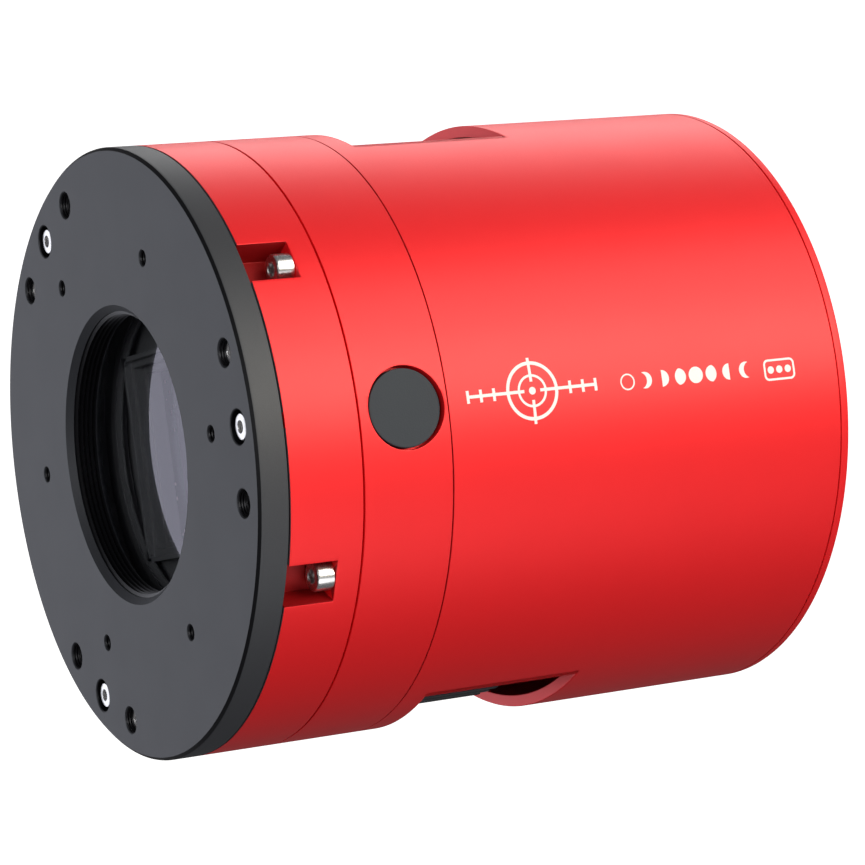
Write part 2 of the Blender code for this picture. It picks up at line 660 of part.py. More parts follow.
def make_sensor():
    bm = bmesh.new()
    glass_rear = PACKAGE_FRONT - GAP
    add_slab(bm, (0, 0), COVER_GLASS_SIZE, glass_rear - COVER_GLASS_THICKNESS, glass_rear)
    piece("sensor_cover_glass", bm, "glass")

    bm = bmesh.new()
    add_slab(bm, (0, 0), PACKAGE_SIZE, PACKAGE_FRONT, PACKAGE_REAR)
    package = piece("sensor_package", bm, "ceramic")
    pocket = bmesh.new()
    add_slab(pocket, (0, 0), PACKAGE_POCKET, PACKAGE_FRONT - CUT, PACKAGE_REAR - PACKAGE_FLOOR)
    cut(package, pocket)

    bm = bmesh.new()
    add_slab(bm, (0, 0), SENSOR_SIZE, SENSOR_DEPTH, SENSOR_DEPTH + SENSOR_THICKNESS)
    piece("sensor_die", bm, "sensor")

    bm = bmesh.new()
    add_slab(bm, (0, 0), SENSOR_BOARD_SIZE, BOARD_FRONT, BOARD_REAR)
    round_corners(bm, SENSOR_BOARD_CORNER)
    board = piece("sensor_board", bm, "circuit_board")
    hole = bmesh.new()
    hole_size = [side + 4 * GAP for side in COLD_FINGER_SIZE]
    add_slab(hole, (0, 0), hole_size, BOARD_FRONT - CUT, BOARD_REAR + CUT)
    cut(board, hole)

    side, height = HUMIDITY_SENSOR
    at = (PACKAGE_SIZE[0] / 2 + 2 * side, 0.0)
    bm = bmesh.new()
    add_slab(bm, at, (side, side), BOARD_FRONT - GAP - height, BOARD_FRONT - GAP)
    piece("humidity_sensor", bm, "black_plastic")


def round_corners(bm, radius, segments=3):
    """Round the edges that run along Y."""
    edges = [
        edge for edge in bm.edges
        if abs(edge.verts[0].co.x - edge.verts[1].co.x) < 1e-9
        and abs(edge.verts[0].co.z - edge.verts[1].co.z) < 1e-9
    ]
    bmesh.ops.bevel(
        bm, geom=edges, offset=radius, segments=segments, affect="EDGES", profile=0.5,
        clamp_overlap=False,
    )


def make_cooler():
    bm = bmesh.new()
    add_slab(bm, (0, 0), COLD_FINGER_SIZE, BOARD_FRONT, COLD_FINGER_REAR)
    piece("cold_finger", bm, "aluminium")
    bm = bmesh.new()
    side = COLD_STAGE_SIZE
    add_slab(bm, (0, 0), (side, side), COLD_STAGE_FRONT, COLD_STAGE_REAR)
    piece("cooler_cold_stage", bm, "alumina")
    bm = bmesh.new()
    side = HOT_STAGE_SIZE
    add_slab(bm, (0, 0), (side, side), HOT_STAGE_FRONT, HOT_STAGE_REAR)
    piece("cooler_hot_stage", bm, "alumina")
    bm = bmesh.new()
    hole = HOT_STAGE_SIZE / math.sqrt(2) + 2 * GAP
    foam_rear = SINK_FRONT - GAP
    outline = (
        (hole, foam_rear - FOAM_THICKNESS),
        (FOAM_RADIUS, foam_rear - FOAM_THICKNESS),
        (FOAM_RADIUS, foam_rear),
        (hole, foam_rear),
    )
    add_turned(bm, outline, sides=INNER_SIDES)
    piece("insulation_foam", bm, "foam")


# ---- middle group -------------------------------------------------------------------------------
def make_middle_housing():
    outline = (
        (CHAMBER_RADIUS, SPIGOT_FRONT),
        *seal_groove(CHAMBER_SEAL_CIRCLE, SPIGOT_FRONT),
        (SPIGOT_RADIUS, SPIGOT_FRONT),
        (SPIGOT_RADIUS, MIDDLE_START),
        (BODY_RADIUS, MIDDLE_START),
        (BODY_RADIUS, MIDDLE_END),
        (CHAMBER_RADIUS, MIDDLE_END),
    )
    bm = bmesh.new()
    add_turned(bm, outline, sides=BODY_SIDES)
    housing = piece("middle_housing", bm, "red_anodised")

    openings = bmesh.new()
    screw_end = NOTCH_END - GAP + NOTCH_SCREW_LENGTH + GAP
    for angle in NOTCH_ANGLES:
        at = on_circle(NOTCH_SCREW_CIRCLE, angle)
        add_rod(openings, M2_SCREW[2] + GAP, MIDDLE_START - CUT, screw_end, at)
    stepped = (
        (0.0, CHAMBER_RADIUS - 2 * CUT),
        (PORT_BORE_RADIUS, CHAMBER_RADIUS - 2 * CUT),
        (PORT_BORE_RADIUS, PORT_SEAT),
        (PORT_RADIUS, PORT_SEAT),
        (PORT_RADIUS, BODY_RADIUS + CUT),
        (0.0, BODY_RADIUS + CUT),
    )
    add_turned(openings, stepped, (PORT_DEPTH_Y, 0.0), sides=24, along="X")
    cut(housing, openings)

    bm = bmesh.new()
    add_ring(bm, CHAMBER_SEAL_CIRCLE, SEAL_RADIUS, SPIGOT_FRONT + SEAL_RADIUS)
    piece("chamber_seal", bm, "seal_rubber")


def make_port_plug():
    """Round plug along +X, with its seal ring, and the desiccant tablet behind it."""
    axis = (PORT_DEPTH_Y, 0.0)
    seat = PORT_SEAT + GAP
    stem_start = seat - PLUG_STEM_LENGTH
    groove_end = seat - PLUG_GROOVE_EDGE
    groove_start = groove_end - PLUG_GROOVE_WIDTH
    seal_middle = (groove_start + groove_end) / 2
    seal_outer = PORT_BORE_RADIUS - GAP
    groove_radius = seal_outer - 2 * PLUG_SEAL_RADIUS - GAP
    head_radius = PORT_RADIUS - PLUG_HEAD_GAP
    outline = (
        (0.0, stem_start),
        (PLUG_STEM_RADIUS, stem_start),
        (PLUG_STEM_RADIUS, groove_start),
        (groove_radius, groove_start),
        (groove_radius, groove_end),
        (PLUG_STEM_RADIUS, groove_end),
        (PLUG_STEM_RADIUS, seat),
        (head_radius, seat),
        (head_radius, seat + PLUG_HEAD_THICKNESS),
        (0.0, seat + PLUG_HEAD_THICKNESS),
    )
    bm = bmesh.new()
    add_turned(bm, outline, axis, sides=24, along="X")
    plug = piece("port_plug", bm, "dark_plug")
    bm = bmesh.new()
    circle = 2 * (seal_outer - PLUG_SEAL_RADIUS)
    add_ring(bm, circle, PLUG_SEAL_RADIUS, seal_middle, axis, sides=20, along="X")
    seal = piece("plug_seal", bm, "seal_rubber")
    hang_on("plug_axis", (seat, PORT_DEPTH_Y, 0.0), (plug, seal))

    bm = bmesh.new()
    tablet_end = stem_start - GAP
    add_rod(bm, TABLET_RADIUS, tablet_end - TABLET_THICKNESS, tablet_end, axis, along="X")
    piece("desiccant_tablet", bm, "tablet")


# ---- rear group ---------------------------------------------------------------------------------
def corner_points(spacing):
    half = spacing / 2
    return ((half, half), (-half, half), (-half, -half), (half, -half))


def make_heat_sink():
    """Round base with straight fins, four fan pillars and a slot for the ribbon cable."""
    bm = bmesh.new()
    add_rod(bm, SINK_RADIUS, SINK_FRONT, FIN_END, sides=BODY_SIDES)
    sink = piece("heat_sink", bm, "black_anodised")
    gaps = bmesh.new()
    count = int(SINK_RADIUS / FIN_PITCH)
    half_gap = (FIN_PITCH - FIN_THICKNESS) / 2
    reach = SINK_RADIUS + CUT
    for i in range(-count, count):
        middle = (i + 0.5) * FIN_PITCH
        add_block(gaps, (middle - half_gap, SINK_BASE_REAR, -reach),
                  (middle + half_gap, FIN_END + CUT, reach))
    cut(sink, gaps)
    pillars = bmesh.new()
    for at in corner_points(FAN_HOLE_SPACING):
        add_rod(pillars, PILLAR_RADIUS, SINK_BASE_REAR - CUT, FAN_FRONT - GAP, at)
    join(sink, pillars)
    bores = bmesh.new()
    screw_tip = FAN_REAR + GAP - FAN_SCREW_LENGTH
    for at in corner_points(FAN_HOLE_SPACING):
        add_rod(bores, M3_SCREW[2] + GAP, screw_tip - 2 * GAP, FAN_FRONT + CUT, at, sides=10)
    cut(sink, bores)
    slot = bmesh.new()
    half_width = RIBBON_WIDTH / 2 + RIBBON_SLOT_SIDE
    half_depth = RIBBON_THICKNESS / 2 + RIBBON_SLOT_SIDE
    add_block(slot, (RIBBON_X - half_depth, SINK_FRONT - CUT, -half_width),
              (RIBBON_X + half_depth, FIN_END + CUT, half_width))
    cut(sink, slot)


def make_rear_barrel():
    outline = (
        (BARREL_BORE, BARREL_START),
        (BODY_RADIUS, BARREL_START),
        (BODY_RADIUS, BARREL_END),
        (BARREL_BORE, BARREL_END),
    )
    bm = bmesh.new()
    add_turned(bm, outline, sides=BODY_SIDES)
    barrel = piece("rear_barrel", bm, "red_anodised")
    lugs = bmesh.new()
    for angle in LUG_ANGLES:
        add_rod(lugs, LUG_RADIUS, LUG_END - LUG_LENGTH, LUG_END, on_circle(LUG_CIRCLE, angle))
    join(barrel, lugs)
    holes = bmesh.new()
    screw_tip = screw_seat() - REAR_SCREW_LENGTH
    for angle in LUG_ANGLES:
        at = on_circle(LUG_CIRCLE, angle)
        add_rod(holes, M25_SCREW[2] + GAP, screw_tip - GAP, LUG_END + CUT, at)
    cut(barrel, holes)
    vents = bmesh.new()
    reach = BODY_RADIUS + CUT
    add_block(vents, (-VENT_WIDTH / 2, VENT_START, -reach), (VENT_WIDTH / 2, VENT_END, reach))
    cut(barrel, vents)


def screw_seat():
    """Depth of the underside of a rear screw's head."""
    return BODY_LENGTH - REAR_SCREW_RECESS - M25_SCREW[1]


def make_fan():
    bm = bmesh.new()
    add_slab(bm, (0, 0), (FAN_SIZE, FAN_SIZE), FAN_FRONT, FAN_REAR)
    round_corners(bm, FAN_CORNER)
    frame = piece("fan_frame", bm, "black_plastic")
    duct = bmesh.new()
    add_rod(duct, FAN_DUCT_RADIUS, FAN_FRONT - CUT, FAN_REAR + CUT, sides=INNER_SIDES)
    for at in corner_points(FAN_HOLE_SPACING):
        add_rod(duct, M3_SCREW[2] + 2 * GAP, FAN_FRONT - CUT, FAN_REAR + CUT, at)
    cut(frame, duct)
    for angle in (0.0, 90.0):
        strut = bmesh.new()
        reach = FAN_DUCT_RADIUS + CUT
        add_block(strut, (-reach, STRUT_FRONT, -FAN_STRUT_WIDTH / 2),
                  (reach, FAN_REAR, FAN_STRUT_WIDTH / 2), angle)
        join(frame, strut)
    rotor_front = FAN_FRONT + FAN_ROTOR_SETBACK
    rotor_rear = STRUT_FRONT - FAN_RUNNING_GAP
    pocket_front = rotor_front + FAN_HUB_WALL
    stator = bmesh.new()
    outline = (
        (0.0, pocket_front + FAN_RUNNING_GAP),
        (FAN_BOSS_RADIUS, pocket_front + FAN_RUNNING_GAP),
        (FAN_BOSS_RADIUS, STRUT_FRONT),
        (FAN_HUB_RADIUS, STRUT_FRONT),
        (FAN_HUB_RADIUS, FAN_REAR),
        (0.0, FAN_REAR),
    )
    add_turned(stator, outline, sides=24)
    join(frame, stator)

    pocket_radius = FAN_BOSS_RADIUS + FAN_RUNNING_GAP
    outline = (
        (0.0, rotor_front),
        (FAN_HUB_RADIUS, rotor_front),
        (FAN_HUB_RADIUS, rotor_rear),
        (pocket_radius, rotor_rear),
        (pocket_radius, pocket_front),
        (0.0, pocket_front),
    )
    bm = bmesh.new()
    add_turned(bm, outline, sides=24)
    rotor = piece("fan_rotor", bm, "black_plastic")
    blades = bmesh.new()
    for i in range(FAN_BLADES):
        add_blade(blades, 360.0 / FAN_BLADES * i, rotor_front, rotor_rear)
    join(rotor, blades)
    hang_on("fan_axis", (0.0, FAN_FRONT + FAN_DEPTH / 2, 0.0), (rotor,))

    for number, at in enumerate(corner_points(FAN_HOLE_SPACING), start=1):
        head_end = FAN_REAR + GAP + M3_SCREW[1]
        name = f"fan_screw_{number}"
        socket_screw(name, M3_SCREW, FAN_SCREW_LENGTH, head_end, at, False, "black_steel")


def add_blade(bm, angle, front, rear):
    """Flat pitched blade from the hub to just short of the duct."""
    part = bmesh.new()
    inner = FAN_HUB_RADIUS - CUT
    outer = FAN_DUCT_RADIUS - FAN_RUNNING_GAP
    pitch = math.radians(FAN_BLADE_ANGLE)
    depth = (rear - front - 2 * FAN_BLADE_SETBACK) / math.sin(pitch)
    chord_at_tip = outer * math.radians(360.0 / FAN_BLADES) * FAN_BLADE_FILL
    chord = min(depth, chord_at_tip / math.cos(pitch))
    reach = math.sqrt(outer**2 - (chord / 2 * math.cos(pitch)) ** 2)
    bmesh.ops.create_cube(part, size=1.0)
    shape = Matrix.Diagonal((reach - inner, FAN_BLADE_THICKNESS, chord, 1.0))
    lean = Matrix.Rotation(pitch, 4, "X")
    shift = Matrix.Translation(((reach + inner) / 2, (front + rear) / 2, 0.0))
    turn = Matrix.Rotation(-math.radians(angle), 4, "Y")
    bmesh.ops.transform(part, matrix=turn @ shift @ lean @ shape, verts=part.verts)
    merge_into(bm, part)


def make_main_board():
    outline = (
        (MAIN_BOARD_HOLE, MAIN_BOARD_FRONT),
        (MAIN_BOARD_RADIUS, MAIN_BOARD_FRONT),
        (MAIN_BOARD_RADIUS, MAIN_BOARD_REAR),
        (MAIN_BOARD_HOLE, MAIN_BOARD_REAR),
    )
    bm = bmesh.new()
    add_turned(bm, outline, sides=INNER_SIDES)
    piece("main_board", bm, "circuit_board")
    start = MAIN_BOARD_REAR + GAP
    for name, (x, z, width, height) in (("processor", PROCESSOR), ("memory_chip", MEMORY)):
        bm = bmesh.new()
        add_slab(bm, (x, z), (width, height), start, start + CHIP_THICKNESS)
        piece(name, bm, "black_plastic")


def make_box_socket(name, place, tongue_share):
    """Rectangular socket with a contact tongue, open to the rear."""
    x, z, width, height = place
    start = MAIN_BOARD_REAR + GAP
    mouth = BODY_LENGTH
    bm = bmesh.new()
    add_slab(bm, (x, z), (width, height), start, mouth)
    body = piece(name, bm, "stainless")
    pocket_size = (width - 2 * SOCKET_WALL, height - 2 * SOCKET_WALL)
    pocket = bmesh.new()
    add_slab(pocket, (x, z), pocket_size, mouth - SOCKET_DEPTH, mouth + CUT)
    cut(body, pocket)
    tongue = bmesh.new()
    tongue_size = (pocket_size[0] * tongue_share[0], pocket_size[1] * tongue_share[1])
    add_slab(tongue, (x, z), tongue_size, mouth - SOCKET_DEPTH - CUT, mouth - TONGUE_SETBACK)
    join(body, tongue)


def make_sockets():
    make_box_socket("data_socket", DATA_SOCKET, DATA_TONGUE)
    for number, place in enumerate(HUB_SOCKETS, start=1):
        make_box_socket(f"hub_socket_{number}", place, HUB_TONGUE)
    x, z, width, height = POWER_SOCKET
    bm = bmesh.new()
    add_slab(bm, (x, z), (width, height), MAIN_BOARD_REAR + GAP, BODY_LENGTH)
    jack = piece("power_socket", bm, "black_plastic")
    bore = bmesh.new()
    add_rod(bore, JACK_RADIUS, BODY_LENGTH - SOCKET_DEPTH, BODY_LENGTH + CUT, (x, z))
    cut(jack, bore)
    pin = bmesh.new()
    pin_start = BODY_LENGTH - SOCKET_DEPTH - CUT
    add_rod(pin, JACK_PIN_RADIUS, pin_start, BODY_LENGTH - TONGUE_SETBACK, (x, z))
    join(jack, pin)


def make_ribbon_cable():
    """Flat cable from the sensor board's rear face to the main board's front face."""
    near = BOARD_REAR + GAP
    far = MAIN_BOARD_FRONT - GAP
    left = RIBBON_X - RIBBON_THICKNESS / 2
    right = RIBBON_X + RIBBON_THICKNESS / 2
    foot = -SENSOR_BOARD_SIZE[0] / 2 + RIBBON_LAP
    half = RIBBON_WIDTH / 2
    outline = (
        (foot, near), (left, near), (left, far), (foot, far), (foot, far - RIBBON_THICKNESS),
        (right, far - RIBBON_THICKNESS), (right, near + RIBBON_THICKNESS),
        (foot, near + RIBBON_THICKNESS),
    )
    bm = bmesh.new()
    face = bm.faces.new([bm.verts.new((x, y, -half)) for x, y in outline])
    side = bmesh.ops.extrude_face_region(bm, geom=[face])
    moved = [item for item in side["geom"] if isinstance(item, bmesh.types.BMVert)]
    bmesh.ops.translate(bm, vec=(0.0, 0.0, RIBBON_WIDTH), verts=moved)
    bmesh.ops.recalc_face_normals(bm, faces=bm.faces)
    piece("ribbon_cable", bm, "ribbon")


def make_rear_cover():
    step_radius = BARREL_BORE - GAP
    outline = (
        (0.0, COVER_INNER),
        (step_radius, COVER_INNER),
        (step_radius, COVER_START),
        (BODY_RADIUS, COVER_START),
        (BODY_RADIUS, BODY_LENGTH - EDGE_CHAMFER),
        (BODY_RADIUS - EDGE_CHAMFER, BODY_LENGTH),
        (0.0, BODY_LENGTH),
    )
    bm = bmesh.new()
    add_turned(bm, outline, sides=BODY_SIDES)
    cover = piece("rear_cover", bm, "red_anodised")
    posts = bmesh.new()
    for angle in POST_ANGLES:
        at = on_circle(POST_CIRCLE, angle)
        add_rod(posts, POST_RADIUS, MAIN_BOARD_REAR + GAP, COVER_INNER + CUT, at)
    join(cover, posts)

    openings = bmesh.new()
    start, end = COVER_INNER - CUT, BODY_LENGTH + CUT
    for i in range(GRILLE_SLOTS):
        x = (i - (GRILLE_SLOTS - 1) / 2) * GRILLE_PITCH
        length = 2 * math.sqrt(GRILLE_RADIUS**2 - x**2)
        add_slab(openings, (x, 0.0), (GRILLE_SLOT_WIDTH, length), start, end)
    for x, z, width, height in (DATA_SOCKET, *HUB_SOCKETS, POWER_SOCKET):
        add_slab(openings, (x, z), (width + 2 * GAP, height + 2 * GAP), start, end)
    head_radius, head_height, shank_radius, _ = M25_SCREW
    seat = screw_seat() - GAP
    for angle in LUG_ANGLES:
        stepped = (
            (0.0, start),
            (shank_radius + GAP, start),
            (shank_radius + GAP, seat),
            (head_radius + GAP, seat),
            (head_radius + GAP, end),
            (0.0, end),
        )
        add_turned(openings, stepped, on_circle(LUG_CIRCLE, angle))
    cut(cover, openings)

    for number, angle in enumerate(LUG_ANGLES, start=1):
        at = on_circle(LUG_CIRCLE, angle)
        head_end = BODY_LENGTH - REAR_SCREW_RECESS
        name = f"rear_screw_{number}"
        socket_screw(name, M25_SCREW, REAR_SCREW_LENGTH, head_end, at, False)


def main():
    clear_scene()
    plate = make_tilt_plate()
    pulls, pushes = make_adjusters()
    hinge_x = on_circle(ADJUSTER_CIRCLE, ADJUSTER_ANGLES[1])[0]
    hinge_y = PLATE_THICKNESS + PLATE_GAP / 2
    hang_on("tilt_axis", (hinge_x, hinge_y, 0.0), (plate, *pushes))
    hang_on("pull_axis", (ADJUSTER_CIRCLE / 2, SCREW_RECESS, 0.0), (pulls[0],))
    make_front_housing()
    make_housing_screws()
    make_window()
    make_sensor_mask()
    make_sensor()
    make_cooler()
    make_middle_housing()
    make_port_plug()
    make_heat_sink()
    make_rear_barrel()
    make_fan()
    make_main_board()
    make_sockets()
    make_ribbon_cable()
    make_rear_cover()


main()
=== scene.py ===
"""Looks of a cooled guide camera with a tilt plate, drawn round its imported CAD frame.

Frame: the origin is the centre of the front mounting face. +Y runs from the front to the rear,
+X points at the round port plug and +Z points up through the upper vent. Lengths are in metres,
and angles round the body are counted from +X towards +Z.
"""
import math

import bmesh
import bpy
from mathutils import Matrix, Vector


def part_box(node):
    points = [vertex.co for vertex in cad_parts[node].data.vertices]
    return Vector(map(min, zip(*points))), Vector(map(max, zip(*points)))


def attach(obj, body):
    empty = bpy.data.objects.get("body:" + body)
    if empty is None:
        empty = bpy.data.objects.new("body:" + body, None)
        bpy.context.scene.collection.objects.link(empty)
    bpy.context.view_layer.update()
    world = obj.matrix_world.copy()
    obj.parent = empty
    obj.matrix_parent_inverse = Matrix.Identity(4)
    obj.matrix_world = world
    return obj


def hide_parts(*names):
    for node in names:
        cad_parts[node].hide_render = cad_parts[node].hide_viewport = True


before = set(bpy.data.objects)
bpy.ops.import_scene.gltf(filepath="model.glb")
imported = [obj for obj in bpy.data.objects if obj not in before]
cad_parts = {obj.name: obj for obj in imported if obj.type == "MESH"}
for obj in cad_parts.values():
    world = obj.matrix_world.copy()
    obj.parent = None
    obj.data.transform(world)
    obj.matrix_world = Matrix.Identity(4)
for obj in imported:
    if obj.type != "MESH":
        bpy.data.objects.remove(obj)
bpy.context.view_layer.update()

MM = 0.001
TURN = 2 * math.pi

# ---- how finely things are drawn ----------------------------------------------------------------
BODY_SIDES = 256
RING_SIDES = 128
SCREW_SIDES = 40
HOLE_SIDES = 32
WELD = 1e-6                       # points nearer than this are one point
OVERCUT = 1.0 * MM                # how far a cutter runs past the face that it opens
SHARP = math.radians(40)          # an edge that turns more than this can be softened
SMOOTH = math.radians(32)         # an edge that turns less than this is shaded smooth
NEAR = 0.1 * MM                   # slack round the places that are picked
BREAK = 0.12 * MM                 # width of an edge that is only broken
EDGE_BREAK = 0.16 * MM            # and of one that is seen close by

# ---- sizes read from the frame ------------------------------------------------------------------
BODY_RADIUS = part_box("rear_barrel")[1].z
HOUSING_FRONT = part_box("front_housing")[0].y
HOUSING_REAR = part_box("front_housing")[1].y
SPIGOT_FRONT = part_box("middle_housing")[0].y
MIDDLE_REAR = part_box("middle_housing")[1].y
BARREL_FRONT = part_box("rear_barrel")[0].y
BARREL_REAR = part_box("rear_barrel")[1].y
REAR_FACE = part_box("rear_cover")[1].y
PLATE_BOSS_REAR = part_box("tilt_plate")[1].y
RETAINER_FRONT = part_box("window_retaining_ring")[0].y
RETAINER_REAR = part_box("window_retaining_ring")[1].y
MASK_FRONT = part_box("sensor_mask")[0].y
ROTOR_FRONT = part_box("fan_rotor")[0].y
ROTOR_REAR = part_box("fan_rotor")[1].y

# ---- tilt plate ---------------------------------------------------------------------------------
PLATE_REAR = HOUSING_FRONT - 0.3 * MM
PLATE_CHAMFER = 0.5 * MM
MOUTH_RADIUS = 22.0 * MM
MOUTH_DEPTH = 0.95 * MM           # of the cone that leads into the thread
THREAD_CREST = 20.6 * MM
THREAD_DEPTH = 0.46 * MM
THREAD_PITCH = 0.75 * MM
PLATE_BOSS_RADIUS = 24.0 * MM
ADJUSTER_RADIUS = 40.0 * MM       # of the circle through the adjusting screws
ADJUSTER_ANGLES = (0.0, 120.0, 240.0)
PUSH_SPREAD = 15.0
COUNTERBORE_RADIUS = 2.45 * MM
COUNTERBORE_DEPTH = 3.0 * MM
SHANK_HOLE_RADIUS = 1.3 * MM
PUSH_HOLE_RADIUS = 2.0 * MM
ACCESSORY_CIRCLE_RADIUS = 31.0 * MM
ACCESSORY_HOLES = 6
ACCESSORY_HOLE_RADIUS = 1.15 * MM
ACCESSORY_HOLE_DEPTH = 3.4 * MM
SMALL_THREAD_PITCH = 0.4 * MM
SMALL_THREAD_DEPTH = 0.12 * MM
HOLE_CHAMFER = 0.14 * MM

# ---- screws: head radius, head height, hexagon across flats --------------------------------------
M2_HEAD = (1.9 * MM, 2.0 * MM, 1.5 * MM)
PULL_HEAD_RISE = 0.35 * MM        # of the pull screws' heads in their counterbores
NOTCH_HEAD = (2.15 * MM, 2.7 * MM, 1.9 * MM)
M25_HEAD = (2.25 * MM, 1.6 * MM, 1.5 * MM)
M3_HEAD = (2.75 * MM, 2.0 * MM, 2.0 * MM)
PUSH_SCREW_RADIUS = 1.7 * MM
PUSH_SCREW_HEX = 2.0 * MM

# ---- housings -----------------------------------------------------------------------------------
SEAM_CHAMFER = 0.05 * MM
RING_GAP = 0.5 * MM                # from a cut to the edge ring that keeps its shading local
NOTCH_ANGLES = (30.0, 150.0, 210.0, 330.0)
NOTCH_WIDTH = 6.2 * MM
NOTCH_FLOOR = 40.5 * MM           # from the optical axis
NOTCH_END = 12.2 * MM
NOTCH_SCREW_RADIUS = 42.7 * MM
WINDOW_POCKET_RADIUS = 28.3 * MM
SHELF_RADIUS = 24.2 * MM
SHELF_FRONT = 9.2 * MM
SHELF_REAR = 11.1 * MM
FRONT_CHAMBER_RADIUS = 32.7 * MM
SPIGOT_SEAT_RADIUS = 39.3 * MM
SPIGOT_SEAT = 13.6 * MM
SPIGOT_RADIUS = 39.0 * MM
CHAMBER_RADIUS = 33.0 * MM
MIDDLE_FRONT = 16.15 * MM
PORT_AXIS = 23.5 * MM             # behind the front face
PORT_RADIUS = 5.9 * MM
PORT_SEAT = 42.5 * MM
PORT_BORE_RADIUS = 4.7 * MM
PLUG_RADIUS = 5.55 * MM
PLUG_STEM_RADIUS = 4.1 * MM
PLUG_LIFT = 0.3 * MM              # of the plug's head above its seat
SEAL_GROOVE = (1.2 * MM, 1.7 * MM, 1.0 * MM)     # gap to the head, width and depth

# ---- window, mask and sensor: half sizes go along X and Z ----------------------------------------
CLAMP_BORE = 24.4 * MM
SPANNER_SLOT = (1.5 * MM, 0.75 * MM, 0.8 * MM)    # half width, half length and depth
MASK_THICKNESS = 2.8 * MM
MASK_LEG_RADIUS = 2.2 * MM
MASK_LEGS = (20.0 * MM, 17.0 * MM)                # of each leg, from the optical axis
COLLAR_HALF = (18.0 * MM, 15.7 * MM)
COLLAR_FRONT = 9.2 * MM           # just behind the window
COLLAR_RIM = 0.8 * MM
COLLAR_STEP = 1.0 * MM
COLLAR_FLOORS = (10.3 * MM, 11.9 * MM, 15.5 * MM)
CARRIER_CORNER = 0.5 * MM
POCKET_HALF = (13.0 * MM, 9.1 * MM)
POCKET_DEPTH = 0.8 * MM
DIE_FRAME = (0.9 * MM, 0.8 * MM)  # pale border round the light-sensitive field
PADS_BESIDE = 9                   # on each side of the middle pad
PAD_PITCH = 1.15 * MM
PAD_HALF = 0.2 * MM
PAD_AWAY = 0.62 * MM              # from the die's edge
PAD_SUNK = 0.04 * MM
PAD_RISE = 0.02 * MM

# ---- rear barrel and cover ----------------------------------------------------------------------
BARREL_BORE = 42.5 * MM
RELIEF_RADIUS = 43.1 * MM         # inside of the thinner wall round the vents
RELIEF_START = 32.5 * MM
RELIEF_END = 79.0 * MM
VENT_HALF_WIDTH = 20.1 * MM
VENT_START = 34.0 * MM
VENT_END = 59.5 * MM
LUG_CIRCLE_RADIUS = 39.6 * MM
LUG_ANGLES = (45.0, 135.0, 225.0, 315.0)
LUG_RADIUS = 3.2 * MM
LUG_START = 84.0 * MM
LUG_END = 93.7 * MM
LUG_HOLE_RADIUS = 1.55 * MM
COVER_FRONT = 95.85 * MM
COVER_STEP = 94.0 * MM
COVER_STEP_RADIUS = 42.2 * MM
COVER_ROUND = 0.35 * MM           # of the edge round the rear face
COVER_ROUND_MIDDLE = 0.1 * MM
SCREW_SEAT_DEPTH = 2.1 * MM
SCREW_SEAT_GAP = 0.3 * MM
CUT_OUT_CORNER = 0.5 * MM
GRILLE_RADIUS = 22.5 * MM
GRILLE_SLOTS = 9
GRILLE_PITCH = 4.6 * MM
GRILLE_SLOT_WIDTH = 2.6 * MM
SOCKET_GAP = 0.3 * MM
POST_RADIUS = 2.5 * MM
POST_CIRCLE_RADIUS = 32.0 * MM
POST_ANGLES = (0.0, 50.0, 130.0, 180.0)

# ---- camera and light ---------------------------------------------------------------------------
LENS = 140.3                      # millimetres, on a 36 mm sensor
VIEW_AIM = Vector((3.1, 49.5, -1.7)) * MM
VIEW_AZIMUTH = 61.69              # degrees from the front face towards +X
VIEW_ELEVATION = -2.57
VIEW_DISTANCE = 0.513
VIEW_ROLL = -7.57
STUDIO_RADIUS = 3.0
FLOOR_DROP = 0.35                 # floor below the optical axis
AIR = (0.12, 0.12, 0.125, 1.0)    # what the pieces see where there is no light


# ---- modelling helpers --------------------------------------------------------------------------
def only(piece):
    """Leave one piece selected and active."""
    bpy.ops.object.select_all(action="DESELECT")
    piece.select_set(True)
    bpy.context.view_layer.objects.active = piece


def named(name):
    """Name the object that was just added."""
    piece = bpy.context.object
    piece.name = name
    piece.data.name = name
    return piece


def round_the_axis(radius, degrees):
    """X and Z of a point at an angle round the optical axis."""
    angle = math.radians(degrees)
    return radius * math.cos(angle), radius * math.sin(angle)


